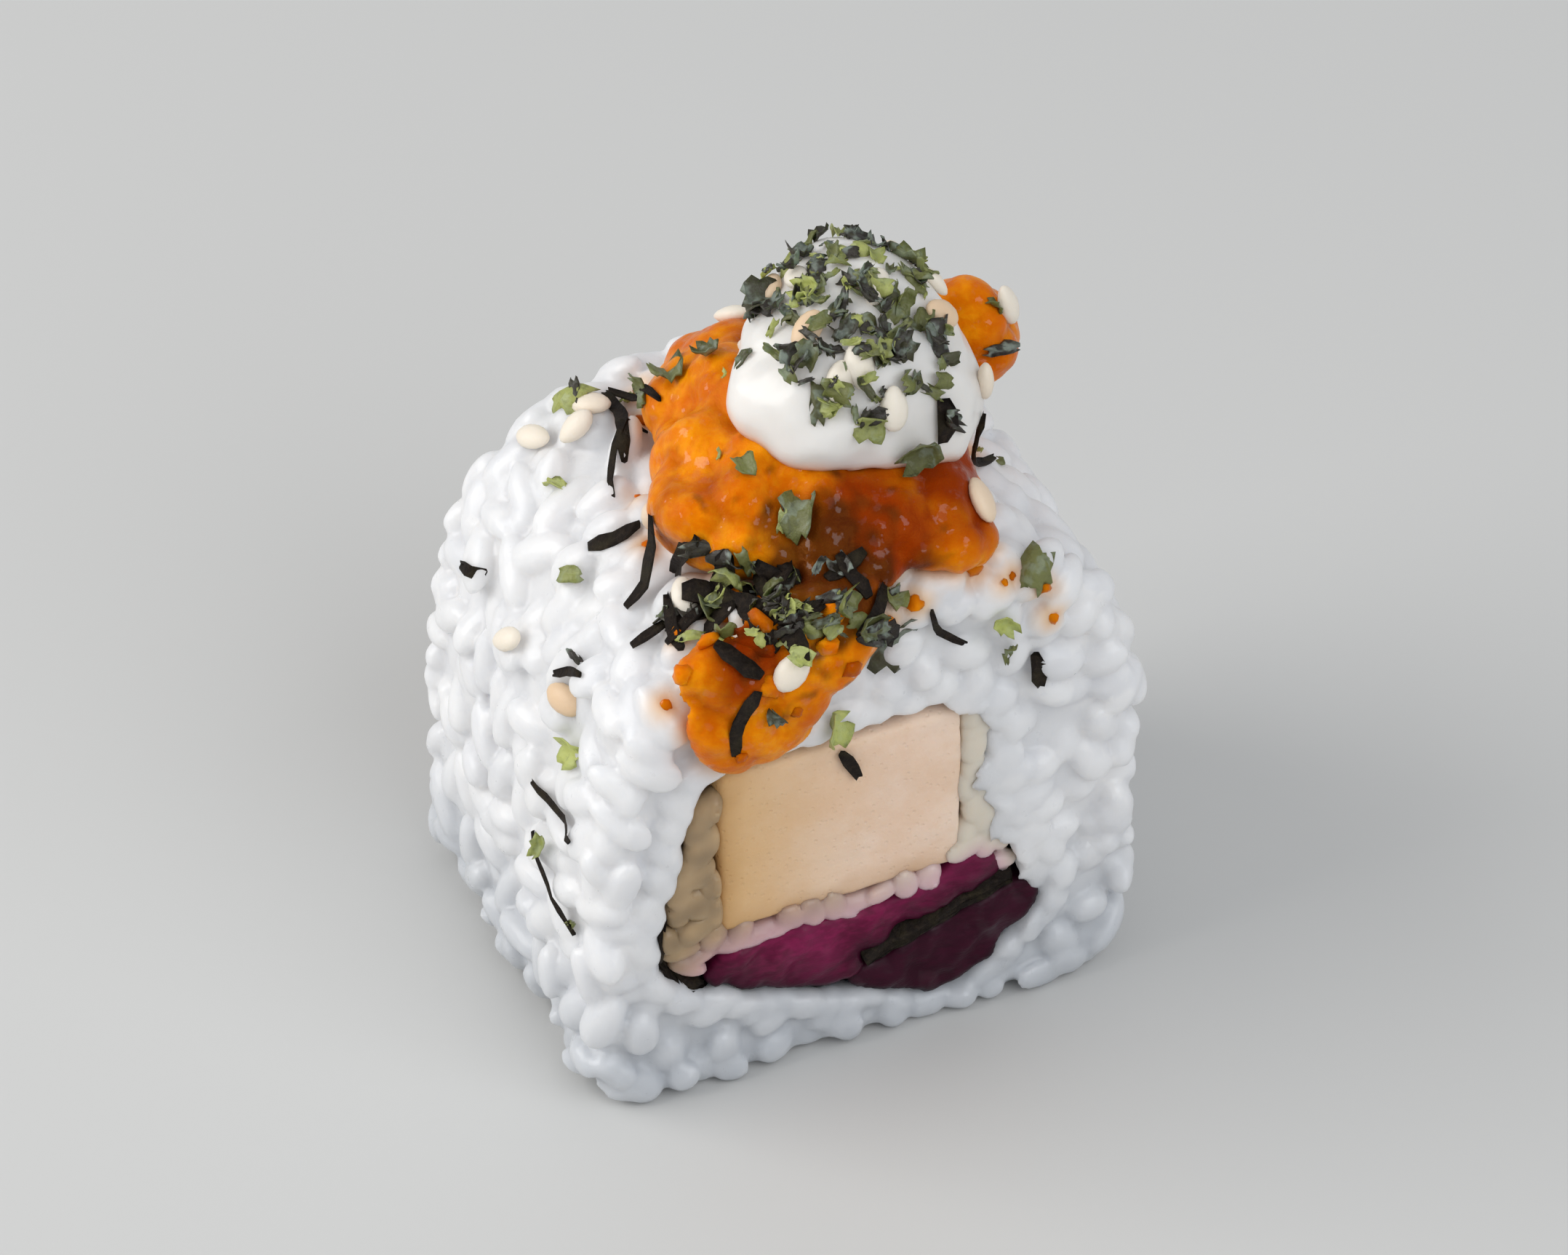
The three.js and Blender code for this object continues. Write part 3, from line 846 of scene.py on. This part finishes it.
class ROLL_OT_nori_sheet(bpy.types.Operator):
    """Sinks the nori's ragged edges between the grains, and folds its end thick between the pickles"""

    bl_idname = "roll.nori_sheet"
    bl_label = "Nori Sheet"

    def execute(self, context):
        coat = surface_of(NODES["rice_coat"])
        sheet = node_copy("nori_wrap")
        bmesh.ops.subdivide_edges(sheet, edges=sheet.edges, cuts=3, use_grid_fill=True)
        sheet.normal_update()
        for vert in sheet.verts:
            in_fold = vert.co.x < FOLD_END and not is_near(coat, vert.co, 1.1 * MM)
            edge = max(0, abs(vert.co.y) - (BACK - EDGE_REACH)) / EDGE_REACH
            ragged = 0.5 + ripple(vert.co, 1.4 * MM) + 0.6 * ripple(vert.co, 0.6 * MM)
            deepest = 0.4 * MM if in_fold else 1.2 * MM
            sunk = max(0, ragged) * deepest + (0 if in_fold or bare(vert.co) else NORI_SINKS)
            vert.co.y -= math.copysign(edge * sunk, vert.co.y)
            if in_fold:
                vert.co += Vector((vert.normal.x, 0, vert.normal.z)) * FOLD_SWELLS
        push(sheet, lambda place: 0.1 * MM * ripple(place, 1.2 * MM))
        material = nori_finish("nori", context.scene.roll_colours.nori)
        piece("nori_sheet", sheet, material, ["nori_wrap"])
        return {"FINISHED"}


class ROLL_OT_tofu(bpy.types.Operator):
    """Softens the block of tofu, whose sides a knife left slightly uneven"""

    bl_idname = "roll.tofu"
    bl_label = "Tofu"

    def execute(self, context):
        block = remeshed(node_copy("tofu_block"), 0.4 * MM)
        smooth(block, 3)
        push(block, lambda place: 0.16 * MM * ripple(place, 3.5 * MM) + 0.05 * MM * ripple(place, 0.9 * MM))
        material = tofu_finish(context.scene.roll_colours.tofu)
        tofu = piece("tofu", block, material, ["tofu_block"])

        def rim(vert):
            """Darker along the ragged left-hand and lower edges."""
            side = min(vert.co.x - TOFU_LOW.x, vert.co.z - TOFU_LOW.z)
            ragged = 0.6 * MM * ripple(vert.co, 1.6 * MM)
            return clamped(1 - (side + ragged) / (2.4 * MM))

        mark(tofu, "rim", rim)
        return {"FINISHED"}


def uneven(place):
    """Waves of a hand-torn edge that run through, and finer fibres."""
    through = Vector((place.x, place.y * 0.15, place.z))
    return (0.3 + 0.45 * ripple(through, 1.5 * MM) + 0.08 * ripple(place, 0.7 * MM)) * MM


class ROLL_OT_pickles(bpy.types.Operator):
    """Gives the two strips of pickle fibres, uneven sides and painted shade next to the nori"""

    bl_idname = "roll.pickles"
    bl_label = "Pickles"

    def execute(self, context):
        material = pickle_finish(context.scene.roll_colours.pickle)
        wrap = surface_of(NODES["nori_wrap"])
        # How far from the nori the painted shade reaches, and how dark the strip is at least, all over.
        for name, reach, least in (("pickle_upper", 4 * MM, 0), ("pickle_lower", 6 * MM, 0.86)):
            strip = remeshed(node_copy(name), 0.25 * MM)
            smooth(strip, 2)
            push(strip, uneven)
            flesh = piece(name + "_strip", strip, material, [name])
            near_nori = nearness(wrap, reach)
            mark(flesh, "skin", lambda vert: max(least, near_nori(vert)))
        return {"FINISHED"}


# ---- Mash and cream ----

# Crumbs that the camera sees: millimetres right of and above the point it looks at, and width.
CRUMBS_SEEN = (
    (-5.7, 0.8, 1.1), (-6.6, -0.4, 0.8), (-4.6, -1.0, 1.4), (-6.2, -2.8, 1.2), (-0.8, -3.6, 1.3),
    (0.8, -5.2, 0.7), (4.2, -2.6, 1.2), (2.6, -1.2, 1.5), (16.4, 0.6, 0.7), (15.9, 2.4, 0.8),
    (-8.4, 5.0, 0.7), (-1.2, 0.4, 1.6), (3.0, 0.9, 1.2), (11.6, 3.6, 1.0), (-2.6, -7.9, 0.8),
)

CHUNK_WIDTH = 2.5 * MM

# Where the camera sees the mash almost black, partly burnt and partly in painted shade, and where painted
# shade makes it red-brown, with how far that reaches.
BURNT_SEEN = (2.4, 3.6)
BURNT_REACH = 3.6 * MM
DEEP_SEEN = ((5.6, 6.0, 4.0), (11.0, 9.6, 4.0), (-2.4, -2.2, 1.9))


def chunks(place):
    """How far the mash stands out in broad lumps, chunks and pulp."""
    broad = 0.9 * MM * ripple(place, 4.2 * MM)
    chunk = 1.0 * MM * (lump(place, CHUNK_WIDTH) - 0.55)
    pulp = 0.2 * MM * (lump(place + ELSEWHERE, 1.1 * MM) - 0.5)
    return 0.2 * MM + broad + chunk + pulp


class ROLL_OT_mash(bpy.types.Operator):
    """Breaks the heap of mash up into pulp and chunks"""

    bl_idname = "roll.mash"
    bl_label = "Mash"

    def execute(self, context):
        heap = remeshed(node_copy("mash_heap"), 0.22 * MM)
        smooth(heap, 6)
        push(heap, chunks)
        smooth(heap, 2)
        material = mash_finish(context.scene.roll_colours.mash)
        mash = piece("mash", heap, material, ["mash_heap"])
        surface = surface_of(mash)
        burnt_middle = seen(surface, *BURNT_SEEN)
        deep = [(seen(surface, right, up), reach * MM) for right, up, reach in DEEP_SEEN]

        def hollow(vert):
            """Painted shade in the creases and where the cream shades the mash, with darker patches at
            random.
            """
            crease = max(0.0, 0.7 - lump(vert.co, CHUNK_WIDTH))
            shaded = max(1.6 - (vert.co - middle).length / reach for middle, reach in deep)
            patch = 0.4 * ripple(vert.co + ELSEWHERE, 3 * MM)
            return clamped(crease + max(0.0, shaded) + patch)

        # Almost black round one place: partly burnt mash, partly painted shade.
        def burnt(vert):
            ragged = (1 + 0.8 * ripple(vert.co, 1.1 * MM)) * (vert.co - burnt_middle).length
            return clamped(1.6 - ragged / BURNT_REACH, 0.85)

        mark(mash, "hollow", hollow)
        mark(mash, "burnt", burnt)
        return {"FINISHED"}


def crumb_shape(rng):
    """A soft torn lump one unit across."""
    bm = bmesh.new()
    bmesh.ops.create_icosphere(bm, subdivisions=2, radius=0.5)
    somewhere = Vector((rng.random(), rng.random(), rng.random())) * 50
    for vert in bm.verts:
        vert.co *= 1 + 0.6 * noise.noise(vert.co * 2.4 + somewhere)
        vert.co.z *= 0.6
    return as_mesh(bm)


class ROLL_OT_crumbs(bpy.types.Operator):
    """Drops crumbs of mash round the foot of the heap, and stains the rice near them"""

    bl_idname = "roll.crumbs"
    bl_label = "Crumbs"

    def execute(self, context):
        rng = random.Random(14)
        usual = context.scene.roll_sizes.crumb_size
        surface = surface_of(*named("rice_grains", "mash"))
        heap = surface_of(*named("mash"))
        spots = [(seen(surface, right, up), width * MM) for right, up, width in CRUMBS_SEEN]
        for place, _ in sprinkled(node_copy("rice_coat"), rng, per_square_mm=0.15):
            if not is_near(heap, place, 1.6 * MM):
                continue
            rest = fallen(surface, place.x, place.y)
            if not is_near(heap, rest, 0.3 * MM):
                spots.append((rest, usual * rng.uniform(0.4, 1.3)))
        shapes = [crumb_shape(rng) for _ in range(5)]
        crumbs = strewn(surface, spots, shapes, rng, lift=(0, 0.15 * MM), tilt=0.3)
        material = mash_finish(context.scene.roll_colours.mash)
        fallen_crumbs = piece("mash_crumbs", crumbs, material)
        mark_copies(fallen_crumbs, "hollow", [rng.random() * 0.7 for _ in spots])
        stain = nearness(surface_of(*named("mash", "mash_crumbs")), 1.4 * MM)
        mark(*named("rice_grains"), "mash_stain", stain)
        return {"FINISHED"}


def folds(place):
    """How far the cream stands out in slumped folds."""
    return (0.35 + 0.6 * ripple(place, 3.2 * MM) + 0.2 * ripple(place, 1.4 * MM)) * MM


class ROLL_OT_cream(bpy.types.Operator):
    """Smooths the dollop into soft slumped folds"""

    bl_idname = "roll.cream"
    bl_label = "Cream"

    def execute(self, context):
        dollop = remeshed(node_copy("cream_dollop"), 0.35 * MM)
        smooth(dollop, 8)
        push(dollop, folds)
        smooth(dollop, 3)
        material = cream_finish(context.scene.roll_colours.cream)
        cream = piece("cream", dollop, material, ["cream_dollop"])
        mark(cream, "mash_stain", nearness(surface_of(*named("mash")), 0.9 * MM))
        return {"FINISHED"}


# ---- Seeds, herbs and nori on top ----

# Seeds that the camera sees: millimetres right of and above the point it looks at.
SEEDS_SEEN = (
    (-3.0, 18.9), (1.5, 18.0), (4.6, 15.9), (13.4, 19.6), (12.0, 15.0), (11.9, 7.7), (0.5, -2.6),
    (-6.0, 1.7), (-11.8, 13.5), (-12.6, 12.2), (-15.2, 11.5), (-16.7, -0.8), (-13.2, -4.4),
    (-0.6, 20.6), (0.9, 21.2), (9.4, 19.0), (5.6, 20.6), (3.4, 15.0), (6.6, 13.4),
)

# Flakes besides have a length, and a tone from 0 for almost black to 1 for a dry yellow-green.
FLAKES_SEEN = (
    (-0.3, 16.6, 1.7, 0.6), (2.0, 13.8, 2.8, 0.3), (4.8, 12.8, 1.4, 0.15), (7.8, 14.9, 1.8, 0.3),
    (9.9, 12.9, 3.0, 0.0), (8.2, 10.9, 3.0, 0.35), (9.6, 17.4, 2.8, 0.0), (6.9, 17.8, 2.4, 0.65),
    (3.4, 19.2, 2.6, 0.1), (1.5, 20.2, 2.4, 0.65), (3.9, 21.1, 2.4, 0.7), (6.9, 19.7, 2.0, 0.5),
    (-1.0, 20.0, 2.8, 0.2), (5.2, 18.6, 1.6, 0.3), (8.4, 18.6, 1.6, 0.4), (2.8, 17.0, 1.2, 0.2),
    (-7.0, 15.6, 2.9, 0.55), (-8.5, 14.4, 2.4, 0.4), (-13.2, 13.6, 3.4, 0.8), (-4.6, 16.6, 2.0, 0.3),
    (-2.3, 9.7, 1.8, 0.6), (1.0, 6.9, 3.6, 0.4), (-0.2, 6.4, 1.6, 0.8), (-4.7, 4.9, 3.0, 0.15),
    (-13.0, 3.2, 2.0, 0.7), (-3.8, -0.9, 1.8, 0.6), (-3.7, 2.0, 2.0, 0.9), (0.4, -0.4, 1.7, 0.65),
    (3.5, 1.4, 2.4, 0.6), (6.6, -0.9, 4.2, 0.22), (5.4, -0.2, 2.6, 0.05), (-0.6, -5.3, 1.5, 0.2),
    (2.9, -6.1, 2.6, 0.9), (15.3, 3.5, 3.2, 0.6), (13.4, 0.4, 2.0, 0.95), (13.6, -1.2, 2.0, 0.6),
    (-12.7, -1.7, 1.5, 0.1), (-13.0, -7.6, 2.4, 1.0), (-14.6, -13.4, 1.6, 0.75), (-12.6, -17.9, 1.3, 0.6),
    (13.2, 17.0, 2.4, 0.0),
)

# Shreds run from one place to another and have a width.
SHREDS_SEEN = (
    ((-10.6, 14.4), (-7.4, 13.8), 0.5), ((-10.9, 14.2), (-9.7, 10.0), 0.8),
    ((-10.3, 7.9), (-8.3, 11.8), 0.5), ((-11.9, 4.9), (-8.7, 6.3), 1.0),
    ((-9.5, 1.1), (-6.3, 3.6), 1.1), ((-6.5, 3.4), (-5.0, 5.5), 1.2),
    ((-19.6, 4.0), (-18.0, 3.5), 0.8), ((-9.2, -1.2), (-6.9, 0.4), 0.7), ((-13.9, -2.8), (-12.2, -2.9), 0.5),
    ((15.2, -1.4), (15.6, -3.4), 1.0), ((8.9, 1.2), (11.0, -0.8), 0.5), ((12.0, 13.0), (12.6, 10.4), 0.5),
    ((-15.2, -9.3), (-12.9, -13.0), 0.5), ((-15.1, -12.3), (-12.6, -18.6), 0.6),
    ((3.4, -7.4), (4.5, -8.9), 0.8), ((9.6, 14.0), (9.6, 11.4), 1.6), ((-1.6, -3.8), (-3.0, -7.7), 1.0),
)

# What is strewn at random: the dark cluster on the mash, the brim and the crown of the cream, and strays.
# The middles and reaches are millimetres that the camera sees, like those above. The crown is a share of
# the dollop's width and depth, moved to the right and back.
CLUSTER_MIDDLE = (-0.2, 1.3)
CLUSTER_REACH = (7.2, 3.8)
CLUSTER_SHREDS = 28
CLUSTER_FLAKES = 55
BRIM_MIDDLE = (5.6, 16.6)
BRIM_REACH = (5.4, 5.0)
BRIM_FLAKES = 60
CROWN_SHARE = (0.8, 0.7)
CROWN_SHIFT = (0.5 * MM, 1.6 * MM)
CROWN_FLAKES = 70
STRAY_FLAKES = 18
STRAY_SEEDS = 12


def toppings_rest_on(*others):
    """All that seeds and herbs can lie on, as one surface."""
    return surface_of(*named("rice_grains", "mash", "cream", "tofu", *others))


def around(middle, reach, rng):
    """A place in an oval, most often near its middle, as the camera sees it."""
    turn, out = rng.uniform(0, 2 * math.pi), rng.random()
    return middle[0] + reach[0] * out * math.cos(turn), middle[1] + reach[1] * out * math.sin(turn)


def on_top(surface, rng):
    """A place anywhere on the roll's top, most often on its far side."""
    return fallen(surface, rng.uniform(-14, 14) * MM, rng.uniform(-4, 12) * MM)


def hidden(surface, place):
    """Whether something stands between the camera and a place."""
    first = surface.ray_cast(EYE, (place - EYE).normalized())[0]
    return (first - place).length > 0.5 * MM


def seed_shape(rng):
    """A flattened drop one unit long, lying along X, a little narrower at the front."""
    bm = egg(12)
    narrowing = rng.uniform(0.2, 0.45)
    for vert in bm.verts:
        girth = 1 - narrowing * max(0, vert.co.x + 0.1) ** 1.3
        vert.co.y *= 0.66 * girth
        vert.co.z *= 0.42 * girth
    return as_mesh(bm)


class ROLL_OT_sesame(bpy.types.Operator):
    """Lays the ivory seeds where they show, and some more where they would have fallen"""

    bl_idname = "roll.sesame"
    bl_label = "Sesame"

    def execute(self, context):
        rng = random.Random(21)
        surface = toppings_rest_on()
        length = context.scene.roll_sizes.seed_length
        places = [seen(surface, *spot) for spot in SEEDS_SEEN]
        crowd = Crowd(length)
        for place in places:
            crowd.add(place)
        while len(places) < len(SEEDS_SEEN) + STRAY_SEEDS:
            place = on_top(surface, rng)
            if hidden(surface, place) and crowd.has_room(place):
                crowd.add(place)
                places.append(place)
        spots = [(place, length * rng.uniform(0.85, 1.08)) for place in places]
        shapes = [seed_shape(rng) for _ in range(4)]
        joined = strewn(surface, spots, shapes, rng, lift=(0.2 * MM, 0.35 * MM), tilt=0.15)
        seeds = piece("sesame", joined, sesame_finish(context.scene.roll_colours.sesame))
        mark_copies(seeds, "tone", [rng.random() ** 3 for _ in spots])
        return {"FINISHED"}


def flake_shape(rng):
    """A torn bit of dry leaf one unit long, with a ragged outline, curled and crumpled."""
    bm = bmesh.new()
    bmesh.ops.create_grid(bm, x_segments=5, y_segments=4, size=0.5)
    width, curl, bend = rng.uniform(0.3, 0.9), rng.uniform(-1.2, 2.2), rng.uniform(-1.2, 1.2)
    for vert in bm.verts:
        torn = rng.uniform(0.65, 1.05) if vert.is_boundary else 1
        x, y = vert.co.x * torn, vert.co.y * torn
        y *= width * (1 - 1.7 * x * x)
        vert.co = Vector((x, y, curl * y * y * 2 + bend * x * x + rng.uniform(-0.1, 0.1)))
    bmesh.ops.solidify(bm, geom=bm.faces[:], thickness=0.05)
    return as_mesh(bm)


class ROLL_OT_herbs(bpy.types.Operator):
    """Scatters torn flakes of dry herb, thickly on the crown of the cream"""

    bl_idname = "roll.herbs"
    bl_label = "Herbs"

    def execute(self, context):
        rng = random.Random(22)
        surface = toppings_rest_on("sesame")
        usual = context.scene.roll_sizes.flake_size
        flakes = [(seen(surface, right, up), size * MM, tone) for right, up, size, tone in FLAKES_SEEN]

        def add(place, least, most, darkness):
            flakes.append((place, usual * rng.uniform(least, most), rng.random() ** darkness))

        for _ in range(CLUSTER_FLAKES):
            add(seen(surface, *around(CLUSTER_MIDDLE, CLUSTER_REACH, rng)), 0.35, 1.1, 2)
        crown = (CREAM_LOW + CREAM_HIGH) / 2
        reach = (CREAM_HIGH - CREAM_LOW) / 2
        for _ in range(CROWN_FLAKES):
            turn, out = rng.uniform(0, 2 * math.pi), math.sqrt(rng.random())
            x = crown.x + CROWN_SHIFT[0] + CROWN_SHARE[0] * reach.x * out * math.cos(turn)
            y = crown.y + CROWN_SHIFT[1] + CROWN_SHARE[1] * reach.y * out * math.sin(turn)
            add(fallen(surface, x, y), 0.4, 1.15, 1.8)
        for _ in range(BRIM_FLAKES):
            add(seen(surface, *around(BRIM_MIDDLE, BRIM_REACH, rng)), 0.3, 1.0, 1.8)
        for _ in range(STRAY_FLAKES):
            add(on_top(surface, rng), 0.3, 1.1, 1)

        shapes = [flake_shape(rng) for _ in range(12)]
        spots = [(place, size) for place, size, _ in flakes]
        joined = strewn(surface, spots, shapes, rng, lift=(0.1 * MM, 0.55 * MM), tilt=0.3)
        herbs = piece("herb_flakes", joined, herb_finish(context.scene.roll_colours.herb))
        mark_copies(herbs, "tone", [tone for _, _, tone in flakes])
        return {"FINISHED"}


def rested(surface, start, end, rng):
    """Where a stiff strip's middle line comes to rest between two places, with its normal and its side."""
    reach = 6 * MM
    ahead = (end - start).normalized()
    normal = facing(surface, start, 2 * MM) + facing(surface, end, 2 * MM)
    normal = (normal - ahead * normal.dot(ahead)).normalized()
    side = normal.cross(ahead)
    length = (end - start).length
    steps = max(3, round(length / (0.8 * MM)))
    bow = rng.uniform(-0.12, 0.12) * length
    line = []
    heights = []
    for i in range(steps + 1):
        flat = start.lerp(end, i / steps) + side * bow * math.sin(math.pi * i / steps)
        hit = surface.ray_cast(flat + normal * reach, -normal)
        line.append(flat)
        heights.append(0 if hit[0] is None else reach - hit[3])
    # A stiff strip spans the dips: each point rises to the mean of its neighbours.
    for _ in range(4):
        before = list(heights)
        for i in range(1, steps):
            heights[i] = max(before[i], (before[i - 1] + before[i + 1]) / 2)
    return [flat + normal * height for flat, height in zip(line, heights)], normal, side


def strip(spine, normal, side, width, thickness, rng):
    """A torn strip along a spine, its sides curled up a little."""
    steps = len(spine) - 1
    bm = bmesh.new()
    bmesh.ops.create_grid(bm, x_segments=steps, y_segments=2, size=0.5)
    curl = rng.uniform(0.0, 0.25) * MM
    for vert in bm.verts:
        i = round((vert.co.x + 0.5) * steps)
        end_taper = 0.55 if i in (0, steps) else 1
        out = vert.co.y * width * end_taper * rng.uniform(0.7, 1.15)
        lift = 0.1 * MM + curl * (2 * vert.co.y) ** 2 + rng.uniform(0, 0.1) * MM
        vert.co = spine[i] + normal * lift + side * out
    bmesh.ops.solidify(bm, geom=bm.faces[:], thickness=thickness)
    return as_mesh(bm)


class ROLL_OT_shreds(bpy.types.Operator):
    """Lays shreds of nori stiffly over the bumps of the rice and the mash"""

    bl_idname = "roll.shreds"
    bl_label = "Nori Shreds"

    def execute(self, context):
        rng = random.Random(23)
        surface = toppings_rest_on("sesame")
        thickness = context.scene.roll_sizes.shred_thickness
        strips = list(SHREDS_SEEN)
        for _ in range(CLUSTER_SHREDS):
            middle = around(CLUSTER_MIDDLE, CLUSTER_REACH, rng)
            turn, half = rng.uniform(0, math.pi), rng.uniform(0.7, 1.8)
            step = (half * math.cos(turn), half * math.sin(turn))
            start = (middle[0] - step[0], middle[1] - step[1])
            end = (middle[0] + step[0], middle[1] + step[1])
            strips.append((start, end, rng.uniform(0.7, 1.8)))
        shreds = bmesh.new()
        for start, end, width in strips:
            spine, normal, side = rested(surface, seen(surface, *start), seen(surface, *end), rng)
            add_copy(shreds, strip(spine, normal, side, width * MM, thickness, rng))
        material = nori_finish("nori_shreds", context.scene.roll_colours.nori)
        piece("nori_shreds", shreds, material)
        return {"FINISHED"}


# ---- The stage ----


def aim(obj, place):
    """Puts a light or the camera at a place and turns it to the middle of the piece."""
    obj.location = place
    obj.rotation_mode = "QUATERNION"
    obj.rotation_quaternion = (LOOKED_AT - place).to_track_quat("-Z", "Y")


def soft_light(name, azimuth, elevation, distance, width, power, colour):
    """A square area light seen from the piece at an azimuth and elevation in degrees."""
    data = bpy.data.lights.new(name, "AREA")
    data.size = width
    data.energy = power
    data.color = colour
    turn, rise = math.radians(azimuth), math.radians(elevation)
    away = Vector((math.sin(turn) * math.cos(rise), -math.cos(turn) * math.cos(rise), math.sin(rise)))
    aim(add_object(name, data), LOOKED_AT + away * distance)


class ROLL_OT_stage(bpy.types.Operator):
    """Adds the pale floor, the soft light and the camera"""

    bl_idname = "roll.stage"
    bl_label = "Stage"

    def execute(self, context):
        scene = context.scene
        bm = bmesh.new()
        bmesh.ops.create_grid(bm, x_segments=1, y_segments=1, size=3)
        floor = add_object("floor", as_mesh(bm))
        pale = Finish("floor", {"Base Color": (0.6, 0.6, 0.59, 1), "Roughness": 0.6})
        floor.data.materials.append(pale.material)

        side = {"azimuth": -108, "elevation": 34, "distance": 0.6, "width": 0.5, "power": 2.6}
        soft_light("window", colour=(1, 0.985, 0.96), **side)
        front = {"azimuth": 20, "elevation": 40, "distance": 0.7, "width": 0.6, "power": 2.05}
        soft_light("room", colour=(0.96, 0.98, 1), **front)
        scene.world = bpy.data.worlds.new("room")
        scene.world.use_nodes = True
        background = scene.world.node_tree.nodes["Background"]
        background.inputs["Color"].default_value = (0.95, 0.97, 1, 1)
        background.inputs["Strength"].default_value = 0.5
        scene.view_settings.view_transform = "Standard"

        data = bpy.data.cameras.new("camera")
        data.lens = VIEW_LENS
        data.clip_start = 10 * MM
        scene.camera = add_object("camera", data)
        aim(scene.camera, EYE)
        return {"FINISHED"}


# ---- The add-on ----


STEPS = (
    ROLL_OT_rice_coat,
    ROLL_OT_inner_rice,
    ROLL_OT_nori_sheet,
    ROLL_OT_tofu,
    ROLL_OT_pickles,
    ROLL_OT_mash,
    ROLL_OT_crumbs,
    ROLL_OT_cream,
    ROLL_OT_sesame,
    ROLL_OT_herbs,
    ROLL_OT_shreds,
    ROLL_OT_stage,
)


class ROLL_PT_panel(bpy.types.Panel):
    """Lists the roll's pieces, sizes and colours"""

    bl_label = "Vegetable Roll"
    bl_space_type = "VIEW_3D"
    bl_region_type = "UI"
    bl_category = "Roll"

    def draw(self, context):
        for step in STEPS:
            self.layout.operator(step.bl_idname)
        for group in (context.scene.roll_sizes, context.scene.roll_colours):
            for name in group.bl_rna.properties.keys():
                if name not in ("rna_type", "name"):
                    self.layout.prop(group, name)


CLASSES = (RollSizes, RollColours, *STEPS, ROLL_PT_panel)


def register():
    for cls in CLASSES:
        bpy.utils.register_class(cls)
    bpy.types.Scene.roll_sizes = PointerProperty(type=RollSizes)
    bpy.types.Scene.roll_colours = PointerProperty(type=RollColours)


def unregister():
    del bpy.types.Scene.roll_colours
    del bpy.types.Scene.roll_sizes
    for cls in reversed(CLASSES):
        bpy.utils.unregister_class(cls)


def main():
    register()
    bpy.ops.roll.rice_coat()
    bpy.ops.roll.inner_rice()
    bpy.ops.roll.nori_sheet()
    bpy.ops.roll.tofu()
    bpy.ops.roll.pickles()
    bpy.ops.roll.mash()
    bpy.ops.roll.crumbs()
    bpy.ops.roll.cream()
    bpy.ops.roll.sesame()
    bpy.ops.roll.herbs()
    bpy.ops.roll.shreds()
    bpy.ops.roll.stage()


if __name__ == "__main__":
    main()
